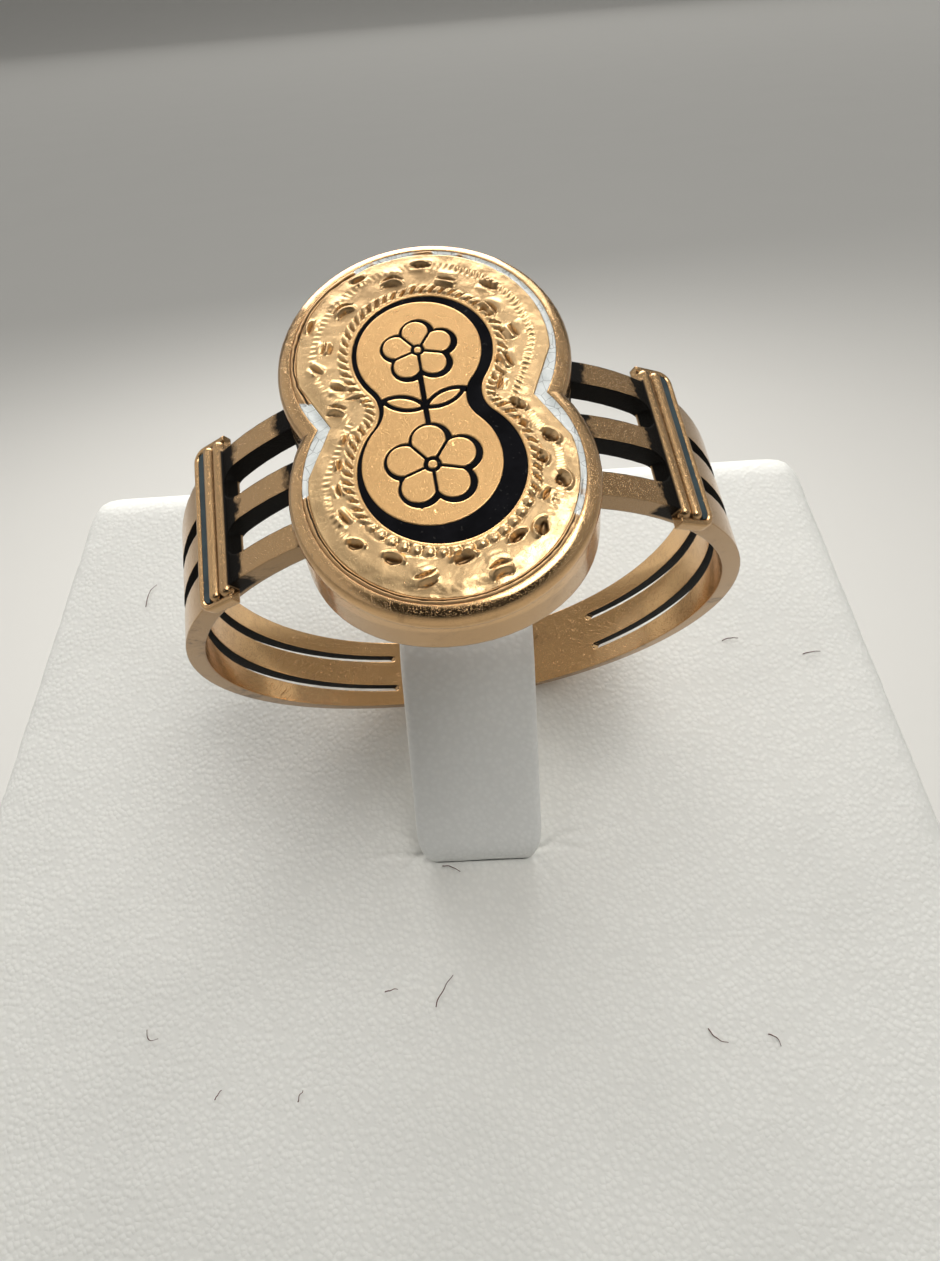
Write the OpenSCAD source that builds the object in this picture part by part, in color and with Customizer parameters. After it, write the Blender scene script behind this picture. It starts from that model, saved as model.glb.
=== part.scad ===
// A rose-gold ring with a figure-eight head, shown on its white display stand.
// The ring has a frame of its own: x across the finger, y along it and z up to the head,
// with its origin at the centre of the hoop. It is then set down on the stand's slanted face.

/* [Hoop] */
// Inside diameter of the hoop
inner_d = 17.2; // [16.6:0.1:19]
// Width of the hoop behind the finger
back_w = 2.8; // [2.6:0.1:3.2]
// Width of the shoulders
shoulder_w = 4.14; // [4:0.02:4.4]
// Thickness of the hoop behind the finger
back_t = 0.45; // [0.4:0.05:0.6]
// Thickness of the hoop at the top, under the head
top_t = 0.62; // [0.6:0.02:0.8]
// Distance of each long slot from the middle of the hoop
slot_off = 0.68; // [0.62:0.02:0.72]
// Width of the long slots beside the crossbars
slot_top_w = 0.54; // [0.4:0.02:0.6]
// Width of the long slots at their rear ends
slot_end_w = 0.26; // [0.2:0.02:0.36]
// Angle from the head at which the slots end on the left
slot_end_left = 156; // [130:1:160]
// Angle from the head at which the slots end on the right
slot_end_right = 142; // [130:1:160]

/* [Shoulders] */
// Width of each of the three open bars
bar_w = 0.7; // [0.6:0.02:0.8]
// Angle of the crossbars from the head
cross_angle = 42.7; // [41:0.1:44]
// Tilt of a crossbar's face up from the hoop, in degrees
cross_tilt = 14; // [10:1:16]
// Length of the crossbars along the finger
cross_len = 5.15; // [5:0.05:5.3]
// Radius of the first bead on a crossbar
bead_r = 0.19; // [0.16:0.01:0.2]

/* [Head] */
// Distance of each lobe's centre from the middle of the head
lobe_off = 1.75; // [1.7:0.01:1.85]
// Outer radius of each lobe
lobe_r = 3.64; // [3.6:0.02:3.8]
// Height of the rim above the inside of the hoop
head_h = 1.42; // [1.36:0.02:1.8]
// Width of the rounded rim
rim_w = 0.39; // [0.36:0.01:0.44]
// Lean of the head's wall, in degrees
wall_lean = 5; // [0:1:8]
// Width of the pale enamel line along the sides
border_w = 0.16; // [0.14:0.01:0.2]
// Half width of the face plate at the waist
plate_waist = 2.42; // [2.3:0.01:2.5]
// Depth of the black enamel
enamel_depth = 0.17; // [0.1:0.01:0.2]

/* [Stand] */
// Slope of the face, in degrees
face_slope = 30; // [24:1:34]
// Length of the face down its slope
face_len = 37; // [35:0.5:42]
// Width of the face along its top edge
face_back_w = 36.5; // [34:0.5:42]
// Height of the front wall
front_h = 12; // [10:0.5:18]
// Lean of the side walls, in degrees
side_lean = 16.3; // [8:0.1:18]
// Lean of the back wall, in degrees
back_lean = 6; // [2:1:10]
// Radius of the block's edges
edge_r = 1.2; // [0.8:0.1:1.8]
// Width of the tongue
tongue_w = 5.15; // [4.5:0.05:5.6]
// Thickness of the tongue
tongue_t = 0.9; // [0.7:0.05:1.1]
// Turn of the ring on the face, in degrees
ring_turn = 7; // [0:1:10]

/* [Hidden] */
$fn = 96;
small_fn = 40;
edge_fn = 32;

// Clearances: enamel to metal, the ring to the stand, and the overlap of cuts
fit_gap = 0.012;
rest_gap = 0.15;
cut = 0.5;
far = 14;

// Hoop: the outer circle is a little higher than the inner one, so the hoop thins to the back
inner_r = inner_d / 2;
outer_r = inner_r + (top_t + back_t) / 2;
outer_lift = (top_t - back_t) / 2;
hoop_low = outer_r - outer_lift;
shoulder_z = 5.5;
slot_start = 51;

// Shoulder slots: the spaces between the three bars, from inside the head to under the crossbar
gap_w = (shoulder_w - 3 * bar_w) / 2;
gap_off = (bar_w + gap_w) / 2;
gap_from = 2;
gap_end = 44;
gap_to = inner_r * sin(gap_end);

// Crossbar profile, in its own tilted plane: u runs down the side, w stands out from the hoop.
// Two beads, the second a little smaller, run beside the enamel's channel, and a lip goes round.
// Each circle is [u, w, radius].
cross_r = inner_r + 0.52;
cross_shift = 0.08;
strip_u = [-0.38, 0.84];
strip_w = [-0.16, 0.06];
core_low = -0.4;
second_bead = 0.95;
beads = [[-0.19, 0.1, bead_r], [0.2, 0.1, bead_r * second_bead]];
lip = [0.74, 0.06, 0.1];
corner_r = 0.42;
bead_end = 0.16;
channel_u = [0.41, 0.64];
channel_floor = 0.03;
blue_top = 0.13;

// Head: heights are from the hoop's centre, and rim_seat is how far the rim reaches down into the wall
rim_z = inner_r + head_h;
rim_in_r = lobe_r - rim_w;
wall_r = lobe_r - 0.05;
wall_top = rim_z - rim_w;
rim_seat = 0.02;
head_low = inner_r - 1.6;
wall_low_r = wall_r + (wall_top - head_low) * tan(wall_lean);
recess_z = rim_z - 0.5;
plate_r = rim_in_r - border_w;
plate_z = recess_z + fit_gap;
plate_top = rim_z + 0.06;
pocket_z = plate_top - enamel_depth;
border_z = rim_z - 0.36;
border_top = rim_z - 0.02;
notch_run = 1.35;
notch_deep = 0.66;
notch_slant = sqrt(notch_run ^ 2 + notch_deep ^ 2) / notch_run;

// The design: a polished figure-eight field, ringed in black that swells to the lower right,
// with a sprig of two five-petalled flowers. Each circle is [x, y, radius].
ring_low = [0, -1.62, 1.95];
ring_high = [0, 1.72, 1.72];
ring_blend = 0.8;
field_low = [-0.2, -1.45, 1.62];
field_high = [-0.08, 1.74, 1.52];
field_blend = 0.9;
flower_low = [-0.2, -1.5, 1.06];
flower_high = [-0.1, 1.78, 0.86];
petals = 5;
// Shares of a flower's radius: its petals, its middle, its eye and the reach of its veins
petal_share = 0.37;
middle_share = 0.5;
eye_share = 0.2;
vein_share = 0.7;
line_w = 0.12;
shade = [0.04, -0.04];
vein_w = 0.08;
stem_x = -0.14;
stem_w = 0.13;
stem_y = [-0.43, 1.05];
leaf_y = 0.1;
leaf_len = 1.04;
leaf_arc = 0.82;
leaf_tilt = 20;

// Stand: the face frame has its origin under the hoop's centre, y up the slope
face_back = 10.9;
face_front = face_back - face_len;
root_y = -8;
ring_x = 1.4;
face_rise = face_len * sin(face_slope);
face_run = face_len * cos(face_slope);
face_front_w = face_back_w + 2 * face_rise * tan(side_lean);
base_w = face_front_w + 2 * front_h * tan(side_lean);
front_run = front_h * tan(side_lean);
back_h = front_h + face_rise;
back_run = back_h * tan(back_lean);
base_d = front_run + face_run + back_run;
face_top_y = base_d / 2 - back_run;
foot_h = 0.6;
ring_lift = hoop_low + rest_gap;

// Tongue, seen from the side: it leaves its slot upright, leans over, runs up and curls down
tongue_depth = 3;
tongue_rise = 40;
tongue_run = 7.1;
root_bend = 1.2;
top_bend = 3.4;
tongue_fall = -68;
tongue_tip = 3.9;
slot_room = 0.2;

// Points on an arc from one angle to another
function arc(centre, r, from, to, steps = 16) =
    [for (i = [0 : steps]) let (a = from + (to - from) * i / steps) centre + r * [cos(a), sin(a)]];

// Centre of a circle that touches both given circles from outside, on the given side
function touching(a, b, r, side) =
    let (
        from = [a.x, a.y],
        span = [b.x, b.y] - from,
        d = norm(span),
        along = ((a.z + r) ^ 2 - (b.z + r) ^ 2 + d ^ 2) / (2 * d),
        across = sqrt((a.z + r) ^ 2 - along ^ 2),
        unit = span / d
    )
    from + along * unit + side * across * [-unit.y, unit.x];

// Sets the ring's frame down on the slanted face
module on_face() {
    translate([ring_x, face_top_y, back_h])
        rotate([face_slope, 0, 0])
            translate([0, -face_back, 0])
                children();
}

module on_stand() {
    on_face()
        translate([0, 0, ring_lift])
            rotate([0, 0, ring_turn])
                children();
}

// A cylinder that lies along the finger
module along_finger(r, h) {
    rotate([90, 0, 0])
        cylinder(r = r, h = h, center = true);
}

// Two lobes of the same radius
module eight(r) {
    for (s = [-1, 1])
        translate([0, s * lobe_off])
            circle(r);
}

// Two circles joined by a waist of arcs, all grown by e
module blended(a, b, blend, e) {
    for (c = [a, b])
        translate([c.x, c.y])
            circle(c.z + e);
    left = touching(a, b, blend, 1);
    right = touching(a, b, blend, -1);
    difference() {
        polygon([[a.x, a.y], right, [b.x, b.y], left]);
        for (c = [left, right])
            translate(c)
                circle(blend - e);
    }
}

// Five round petals and the middle that joins them, grown by e
module flower(f, e) {
    petal_r = f.z * petal_share;
    translate([f.x, f.y]) {
        circle(f.z * middle_share + e);
        for (i = [0 : petals - 1])
            rotate(90 + i * 360 / petals)
                translate([f.z - petal_r, 0])
                    circle(petal_r + e);
    }
}

// The veins and the eye in a flower's middle, thinned by e on each side
module flower_eye(f, e) {
    eye_r = f.z * eye_share;
    vein_from = eye_r * 0.75;
    translate([f.x, f.y]) {
        difference() {
            circle(eye_r - e);
            circle(eye_r / 2 + e);
        }
        for (i = [0 : petals - 1])
            rotate(90 + (i + 0.5) * 360 / petals)
                translate([vein_from, e - vein_w / 2])
                    square([f.z * vein_share - vein_from, vein_w - 2 * e]);
    }
}

// A pointed leaf on the stem, to the right or to the left, grown by e
module leaf(side, e) {
    sink = sqrt(leaf_arc ^ 2 - (leaf_len / 2) ^ 2);
    translate([stem_x, leaf_y])
        mirror([side < 0 ? 1 : 0, 0])
            rotate(leaf_tilt)
                translate([leaf_len / 2, 0])
                    intersection_for (s = [-1, 1])
                        translate([0, s * sink])
                            circle(leaf_arc + e);
}

// All the black of the design, thinned by e at each edge
module black_lines(e) {
    difference() {
        blended(ring_low, ring_high, ring_blend, -e);
        blended(field_low, field_high, field_blend, e);
    }
    for (f = [flower_low, flower_high]) {
        difference() {
            translate(shade)
                flower(f, line_w - e);
            flower(f, e);
        }
        flower_eye(f, e);
    }
    for (side = [-1, 1])
        difference() {
            leaf(side, line_w / 2 - e);
            leaf(side, e - line_w / 2);
        }
    translate([stem_x - stem_w / 2 + e, stem_y[0] + e])
        square([stem_w - 2 * e, stem_y[1] - stem_y[0] - 2 * e]);
}

// Outline of the face plate, cut back at the waist, grown by e
module plate_outline(e) {
    difference() {
        eight(plate_r + e);
        for (s = [-1, 1])
            translate([s * (plate_waist + e * notch_slant), 0])
                polygon([[0, 0], [s * notch_deep, notch_run], [s * far, 0], [s * notch_deep, -notch_run]]);
    }
}

// One side's shape is drawn on the right and mirrored for the left
module to_side(side) {
    mirror([side < 0 ? 1 : 0, 0, 0])
        children();
}

// The flat hoop: broad at the shoulders and narrow behind the finger
module hoop_strip() {
    intersection() {
        translate([0, 0, outer_lift])
            along_finger(outer_r, 2 * shoulder_w);
        rotate([90, 0, 90])
            linear_extrude(height = 2 * far, center = true)
                polygon([[-back_w / 2, -hoop_low], [back_w / 2, -hoop_low], [shoulder_w / 2, shoulder_z],
                    [shoulder_w / 2, far], [-shoulder_w / 2, far], [-shoulder_w / 2, shoulder_z]]);
    }
}

// A long slot that narrows towards the back, from the crossbar round to the given angle
module long_slot(end) {
    end_r = slot_end_w / 2;
    for (s = [-1, 1]) {
        intersection() {
            rotate([90, 0, 0])
                linear_extrude(height = 2 * shoulder_w, center = true)
                    polygon([[0, 0], far * [sin(slot_start), cos(slot_start)], [2 * far, 0],
                        far * [sin(end), cos(end)]]);
            rotate([90, 0, 90])
                linear_extrude(height = far)
                    translate([s * slot_off, 0])
                        polygon([[-end_r, -inner_r], [end_r, -inner_r], [slot_top_w / 2, inner_r],
                            [-slot_top_w / 2, inner_r]]);
        }
        rotate([0, end, 0])
            translate([0, s * slot_off, inner_r - cut])
                cylinder(r = end_r, h = 2 * cut + back_t);
    }
}

// A space between two shoulder bars, round at the crossbar's end
module shoulder_gap() {
    for (s = [-1, 1])
        translate([0, s * gap_off, inner_r / 2])
            linear_extrude(height = far) {
                translate([gap_from, -gap_w / 2])
                    square([gap_to - gap_w / 2 - gap_from, gap_w]);
                translate([gap_to - gap_w / 2, 0])
                    circle(gap_w / 2);
            }
}

// Sets the crossbar's own frame, with x as u and z as w, on the right shoulder
module at_crossbar() {
    rotate([0, cross_angle, 0])
        translate([0, cross_shift, cross_r])
            rotate([0, -cross_tilt, 0])
                children();
}

// Runs a profile in u and w along the crossbar
module crossbar_run(length) {
    at_crossbar()
        rotate([90, 0, 0])
            linear_extrude(height = length, center = true)
                children();
}

// A block in the crossbar's frame, with its two outer corners rounded about the lip's corner centres
module rounded_block(u, w, r) {
    middle_u = strip_u[1] - corner_r;
    middle_y = cross_len / 2 - corner_r;
    at_crossbar()
        difference() {
            translate([u[0], -middle_y - r, w[0]])
                cube([middle_u + r - u[0], 2 * (middle_y + r), w[1] - w[0]]);
            for (s = [-1, 1])
                translate([middle_u, s * middle_y, 0])
                    difference() {
                        translate([0, s > 0 ? 0 : -1, -1])
                            cube([1, 1, 2]);
                        cylinder(r = r, h = 3, center = true);
                    }
        }
}

// The lip: down the side, round the corners and across both ends
module crossbar_lip() {
    middle = [strip_u[1] - corner_r, cross_len / 2 - corner_r];
    bend = lip.x - middle.x;
    crossbar_run(2 * middle.y)
        translate([lip.x, lip.y])
            circle(lip.z);
    for (s = [-1, 1])
        at_crossbar() {
            translate([strip_u[0], s * (middle.y + bend), lip.y])
                rotate([0, 90, 0])
                    cylinder(r = lip.z, h = middle.x - strip_u[0]);
            intersection() {
                translate([middle.x, s * middle.y, lip.y])
                    rotate_extrude($fn = small_fn)
                        translate([bend, 0])
                            circle(lip.z, $fn = small_fn);
                translate([middle.x, s > 0 ? middle.y : -middle.y - 1, -1])
                    cube([1, 1, 2]);
            }
        }
}

// The moulded crossbar: two round-ended beads beside the enamel's channel, on a base that stands on the hoop
module crossbar() {
    difference() {
        union() {
            rounded_block(strip_u, strip_w, corner_r);
            crossbar_run(shoulder_w - 2 * cross_shift)
                translate([strip_u[0], core_low])
                    square([strip_u[1] - strip_u[0], -core_low]);
            for (b = beads) {
                reach = cross_len / 2 - bead_end - b.z;
                crossbar_run(2 * reach)
                    translate([b.x, b.y])
                        circle(b.z);
                for (s = [-1, 1])
                    at_crossbar()
                        translate([b.x, s * reach, b.y])
                            sphere(b.z, $fn = small_fn);
            }
            crossbar_lip();
        }
        rounded_block(channel_u, [channel_floor, cut], channel_u[1] - strip_u[1] + corner_r);
    }
}

module crossbar_enamel(side) {
    to_side(side)
        rounded_block([channel_u[0] + fit_gap, channel_u[1] - fit_gap],
            [channel_floor + fit_gap, blue_top],
            channel_u[1] - fit_gap - strip_u[1] + corner_r);
}

// The head's box: a leaning wall, and a rounded rim round the recess for the face plate
module head_case() {
    difference() {
        for (s = [-1, 1]) {
            translate([0, s * lobe_off, head_low])
                cylinder(r1 = wall_low_r, r2 = wall_r, h = wall_top - head_low);
            intersection() {
                translate([0, s * lobe_off, wall_top])
                    rotate_extrude()
                        translate([rim_in_r, 0])
                            circle(rim_w);
                translate([0, s * far / 2, wall_top + far / 2 - rim_seat])
                    cube(far, center = true);
            }
        }
        translate([0, 0, recess_z])
            linear_extrude(height = far)
                eight(rim_in_r);
    }
}

module ring_metal() {
    color("#c98f62")
        on_stand()
            difference() {
                union() {
                    difference() {
                        hoop_strip();
                        long_slot(slot_end_right);
                        to_side(-1)
                            long_slot(slot_end_left);
                        for (side = [-1, 1])
                            to_side(side)
                                shoulder_gap();
                    }
                    for (side = [-1, 1])
                        to_side(side)
                            crossbar();
                    head_case();
                }
                along_finger(inner_r, 2 * far);
            }
}

module face_plaque() {
    color("#d3a273")
        on_stand()
            difference() {
                translate([0, 0, plate_z])
                    linear_extrude(height = plate_top - plate_z)
                        plate_outline(0);
                translate([0, 0, pocket_z])
                    linear_extrude(height = cut)
                        black_lines(0);
            }
}

module border_enamel() {
    color("#b9c8cd")
        on_stand()
            translate([0, 0, border_z])
                linear_extrude(height = border_top - border_z)
                    difference() {
                        eight(rim_in_r - fit_gap);
                        plate_outline(fit_gap);
                    }
}

module figure_enamel() {
    color("#15151a")
        on_stand()
            translate([0, 0, pocket_z + fit_gap])
                linear_extrude(height = enamel_depth - 2 * fit_gap)
                    black_lines(fit_gap);
}

module crossbar_enamel_left() {
    color("#3c555f")
        on_stand()
            crossbar_enamel(-1);
}

module crossbar_enamel_right() {
    color("#3c555f")
        on_stand()
            crossbar_enamel(1);
}

// The block: a rounded edge runs round its slanted face, and its foot is cut off flat
module stand_block() {
    color("#efeeea")
        difference() {
            hull() {
                on_face()
                    translate([-ring_x, 0, -edge_r])
                        for (s = [-1, 1]) {
                            translate([s * (face_back_w / 2 - edge_r), face_back - edge_r, 0])
                                sphere(edge_r, $fn = edge_fn);
                            translate([s * (face_front_w / 2 - edge_r), face_front + edge_r, 0])
                                sphere(edge_r, $fn = edge_fn);
                        }
                for (sx = [-1, 1], sy = [-1, 1])
                    translate([sx * (base_w / 2 - edge_r), sy * (base_d / 2 - edge_r), 0])
                        cylinder(r = edge_r, h = foot_h, $fn = edge_fn);
            }
            on_face()
                translate([0, root_y, 0])
                    cube([tongue_w, tongue_t, 2 * tongue_depth] + slot_room * [1, 1, 1], center = true);
        }
}

// The tongue's side outline is its middle line moved out by half its thickness on each side
function tongue_line(out) =
    let (
        turn = [root_y + root_bend, 0],
        bend = arc(turn, root_bend + out, 180, 90 + tongue_rise),
        up = turn + root_bend * [-sin(tongue_rise), cos(tongue_rise)]
            + tongue_run * [cos(tongue_rise), sin(tongue_rise)],
        crown = up + top_bend * [sin(tongue_rise), -cos(tongue_rise)],
        curl = arc(crown, top_bend + out, 90 + tongue_rise, 90 + tongue_fall, 24),
        end = crown + (top_bend + out) * [-sin(tongue_fall), cos(tongue_fall)]
            + tongue_tip * [cos(tongue_fall), sin(tongue_fall)]
    )
    concat([[root_y - out, -tongue_depth]], bend, curl, [end]);

function backwards(list) = [for (i = [len(list) - 1 : -1 : 0]) list[i]];

module stand_tongue() {
    color("#d9dbdd")
        on_face()
            rotate([90, 0, 90])
                linear_extrude(height = tongue_w, center = true)
                    polygon(concat(tongue_line(tongue_t / 2), backwards(tongue_line(-tongue_t / 2))));
}

ring_metal();
face_plaque();
border_enamel();
figure_enamel();
crossbar_enamel_left();
crossbar_enamel_right();
stand_block();
stand_tongue();
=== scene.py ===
"""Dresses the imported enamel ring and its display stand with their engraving, enamel, wear and leatherette.

Sizes are in the object's own millimetres. The ring's frame has x across the finger, y along it and z up to
the head, with its origin at the centre of the hoop.
"""

import math
import random

import bmesh
import bpy
import numpy as np
from mathutils import Matrix, Vector
from mathutils.noise import noise as soft_noise


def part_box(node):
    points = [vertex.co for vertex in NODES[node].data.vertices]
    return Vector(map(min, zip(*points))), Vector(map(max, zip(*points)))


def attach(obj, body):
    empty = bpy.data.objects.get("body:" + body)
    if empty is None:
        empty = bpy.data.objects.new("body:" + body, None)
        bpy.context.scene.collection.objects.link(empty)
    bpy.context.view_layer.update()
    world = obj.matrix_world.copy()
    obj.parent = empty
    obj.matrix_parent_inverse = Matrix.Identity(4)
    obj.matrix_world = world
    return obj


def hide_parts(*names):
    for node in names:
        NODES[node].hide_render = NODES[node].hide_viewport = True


bl_info = {
    "name": "Enamel ring on a display stand",
    "version": (1, 0, 0),
    "blender": (4, 5, 0),
    "location": "3D View > Sidebar > Ring",
    "description": "Builds the engraving, enamel, wear and leatherette of an antique ring on its stand",
    "category": "Object",
}

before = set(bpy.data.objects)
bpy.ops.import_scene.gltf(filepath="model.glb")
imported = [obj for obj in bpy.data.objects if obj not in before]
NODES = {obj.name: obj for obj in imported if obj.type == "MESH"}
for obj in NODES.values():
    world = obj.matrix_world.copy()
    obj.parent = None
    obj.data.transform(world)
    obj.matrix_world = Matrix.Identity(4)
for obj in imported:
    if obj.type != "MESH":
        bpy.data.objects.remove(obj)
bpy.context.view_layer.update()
MM = 0.001

# Where the ring stands, as in the part's source
SLOPE, TURN = 30.0, 7.0
FACE_TOP = (1.4, 16.173, 30.5)
FACE_BACK, RING_LIFT = 10.9, 9.2

# The head, in the ring's frame
LOBE_OFF = 1.75
RIM_IN_R = 3.25
PLATE_R = 3.09
PLATE_LOW, PLATE_TOP, POCKET = 9.532, 10.08, 9.91
WAIST, NOTCH_SLOPE = 2.42, 0.66 / 1.35
ENAMEL_LOW, ENAMEL_TOP = 9.66, 10.0
FIT = 0.012

# Where dirt has gathered on the hoop, beside the crossbars and at the bars' roots: the angles from the head,
# the radii and the half widths along the finger over which it fades in or out
CROSSBAR_DIRT, ROOT_DIRT = (36.0, 37.6, 45.6, 46.3), (24.6, 26.6)
HOOP_SKIN, BAR_SKIN, BAR_HALF = (8.66, 8.74), (9.23, 9.31), (2.06, 2.16)
ROOT_SKIN, ROOT_TOP, ROOT_HALF = (8.8, 9.0), (9.3, 9.5), (2.1, 2.3)

# The black walls of the slots, painted near black, partly dirt and partly painted shade: height and half
# width at two places, and the largest radius
WALL_LOW, WALL_HIGH, WALL_R = (-9.0, 1.05), (5.5, 1.72), 9.7

# The duller shoulder bars: the angles and radii over which their tone fades out, and how far they reach
# along the finger from the middle
DULL_BARS, DULL_BAR_TOP, BARS_HALF = (45.5, 46.5), (9.3, 9.45), 2.25

# The design on the plate: circles as x, y, radius
RING_LOW, RING_HIGH, RING_BLEND = (0, -1.62, 1.95), (0, 1.72, 1.72), 0.8
FIELD_LOW, FIELD_HIGH, FIELD_BLEND = (-0.2, -1.45, 1.62), (-0.08, 1.74, 1.52), 0.9
FLOWERS = ((-0.2, -1.5, 1.06), (-0.1, 1.78, 0.86))
PETALS, LINE_W, SHADE = 5, 0.12, (0.04, -0.04)
EYE, EYE_LINE, MIDDLE, PETAL, VEIN = 0.2, 0.25, 0.5, 0.37, 0.7
VEIN_W, STEM = 0.08, (-0.14, 0.13, -0.43, 1.05)
LEAF = (-0.14, 0.1, 1.04, 0.82, 20.0)

# The engraved surface: how far its grid reaches from the middle, and the fewest faces it may come out with
GRID_REACH, FEWEST_FACES = (3.2, 4.95), 20000

# The face's uneven ground: height, length of a wave and seed, all over and then on the band, how much lower
# the band lies, and how far the face's edge has worn down
FACE_WAVES = (0.0025, 1.6, 3)
BAND_WAVES, BAND_SINK = ((0.02, 0.95, 5), (0.004, 0.4, 8), (0.0016, 0.14, 9)), 0.014
EDGE_WORN, EDGE_REACH = 0.075, 0.42

# The rows on the band: the ticks beside the black ring, the beads at its low end and the ticks at the
# outside, each with its pitch, then the pits in the polished field
TICK_PITCH, TICK_SLANT, TICK_FROM, TICK_TO = 0.22, 0.6, (0.08, 0.16), 0.37
BEAD_PITCH, BEAD_OUT, BEAD_HALF = 0.27, 0.2, (0.125, 0.12)
OUTER_PITCH, OUTER_IN, OUTER_HALF, OUTER_SPREAD = 0.15, 0.42, 0.11, 0.87
PITS, PIT_DEPTH, PIT_SPREAD = ((-0.6, -2.6), (-0.3, -2.72), (0.35, -1.05)), 0.03, 0.0006

# The shapes of the cuts, in shares of a cut's length, width and depth, and how far round its middle a cut
# is worked out
STROKE, LIP, SMALL, CUT_REACH = 0.42, 0.45, 1e-6, 0.6
HEART = {"length": 0.85, "point": 0.55, "border": 0.75, "border_at": 1.22, "border_wide": 0.24}
ARCH = {"apart": 1.05, "bend": 1.6, "stroke": 0.3, "second": 0.85, "leaf_at": 0.52, "leaf_wide": 0.26}
PUFF = {"high": 0.85, "at": 0.5, "wide": 0.3, "far_high": 0.4, "far_at": 0.65, "far_wide": 0.35}

# The graver's cuts on the band: x, y, turn, length, width, bend, kind
CUTS = (
    (-1.28, 4.29, 20, 0.5, 0.2, 0.3, "cut"), (-0.44, 4.13, -6, 0.62, 0.24, -0.9, "arch"),
    (0.33, 4.42, -10, 0.6, 0.22, 0.2, "cut"), (0.91, 3.85, -22, 0.56, 0.24, 0.5, "arch"),
    (1.9, 3.42, -37, 0.58, 0.24, 0.2, "cut"), (1.87, 2.73, -58, 0.6, 0.22, -0.8, "arch"),
    (2.3, 1.92, -70, 0.48, 0.28, 0.7, "arch"), (2.02, 1.08, -75, 0.54, 0.25, 0.9, "arch"),
    (1.7, 0.42, 60, 0.36, 0.17, 0.2, "cut"), (2.0, -0.27, -48, 0.46, 0.24, 0.3, "heart"),
    (2.0, -0.83, -60, 0.38, 0.19, 0.4, "cut"), (2.56, -1.27, -50, 0.48, 0.27, 0.2, "heart"),
    (2.27, -1.8, -72, 0.38, 0.22, 0.4, "heart"), (2.62, -2.46, -80, 0.46, 0.32, 0.5, "heart"),
    (2.2, -2.75, 48, 0.38, 0.2, -0.5, "cut"), (1.94, -3.55, 60, 0.46, 0.32, -0.4, "heart"),
    (1.37, -3.67, 28, 0.46, 0.22, -0.4, "heart"), (0.87, -4.25, 12, 0.54, 0.28, -0.8, "arch"),
    (0.14, -3.98, 4, 0.54, 0.28, -0.2, "heart"), (-0.75, -4.2, 14, 0.54, 0.24, 0.5, "arch"),
    (-1.4, -3.72, -30, 0.5, 0.25, 0.3, "heart"), (-2.17, -3.22, -26, 0.42, 0.22, 0.3, "heart"),
    (-2.36, -2.5, -58, 0.5, 0.2, 0.3, "cut"), (-2.4, -1.77, -75, 0.36, 0.16, 0.3, "cut"),
    (-2.32, -1.1, 80, 0.34, 0.15, 0.4, "cut"), (-2.1, -0.45, 60, 0.32, 0.15, 0.3, "cut"),
    (-2.2, 0.5, -18, 0.48, 0.22, -0.6, "arch"), (-2.15, 1.03, -24, 0.46, 0.24, 0.2, "cut"),
    (-2.62, 1.68, -45, 0.46, 0.2, 0.2, "cut"), (-2.36, 2.3, 70, 0.38, 0.18, 0.4, "arch"),
    (-2.6, 3.06, 62, 0.5, 0.18, -0.2, "cut"), (-1.78, 3.48, 20, 0.62, 0.24, -0.9, "arch"),
)

# Where the pale line has worn away: middle and half width in degrees round the head, and how far
WORN = ((135, 34, 1.0), (84, 26, 0.5), (255, 50, 1.0), (312, 16, 0.55))

# How its wear fades out in degrees, how it is dished, and the ridge and the crack where it is worn
WORN_SOFT, DISH, GOLD_RIDGE, CRACK_DEPTH = 8, 0.022, 0.035, 0.09

# The tongue's middle line in the face's frame, as in the part's source
TONGUE = {"root": -8.0, "depth": 3.0, "root_bend": 1.2, "rise": 40.0, "run": 7.1, "top_bend": 3.4,
          "fall": -68.0, "tip": 3.9}

# Half its width and thickness, its soft corners, and how it narrows at its tip and where it leaves the slot
TONGUE_HALF_W, TONGUE_HALF_T, TONGUE_SOFT = 2.56, 0.44, 0.3
TIP_NARROW, TIP_THIN, ROOT_NARROW, ROOT_RISE = 0.2, 0.1, 0.155, 1.4

# The cover: the size of its mesh, the distances from the slot within which that mesh is halved once more, how
# far the slot's edge is turned down, and how much the face sags, with its wave's length and seed
COVER_VOXEL, FINER, SLOT_WALL = 0.55, (5.6, 2.1, 1.0, 0.35), 1.6
SAG, SAG_WAVE = 0.02, (9.0, 41)

# The slot's half width and half height, how the cover dips round it (depth, reach), and the creases at its
# two ends: turn, depth, length
SLOT, SLOT_ROUND, DIPS = (2.2, 0.462), 0.4, ((0.07, 0.5), (0.05, 1.6))
CREASE_HALF, CREASE_SWAY = 0.13, (0.1, 2.2)
CREASES = (
    (1, ((14, 0.05, 3.4), (-4, 0.045, 2.6), (40, 0.02, 2.2), (-62, 0.025, 2.6), (80, 0.012, 1.6))),
    (-1, ((186, 0.05, 2.2), (150, 0.02, 1.8), (214, 0.03, 1.9))),
)

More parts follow.
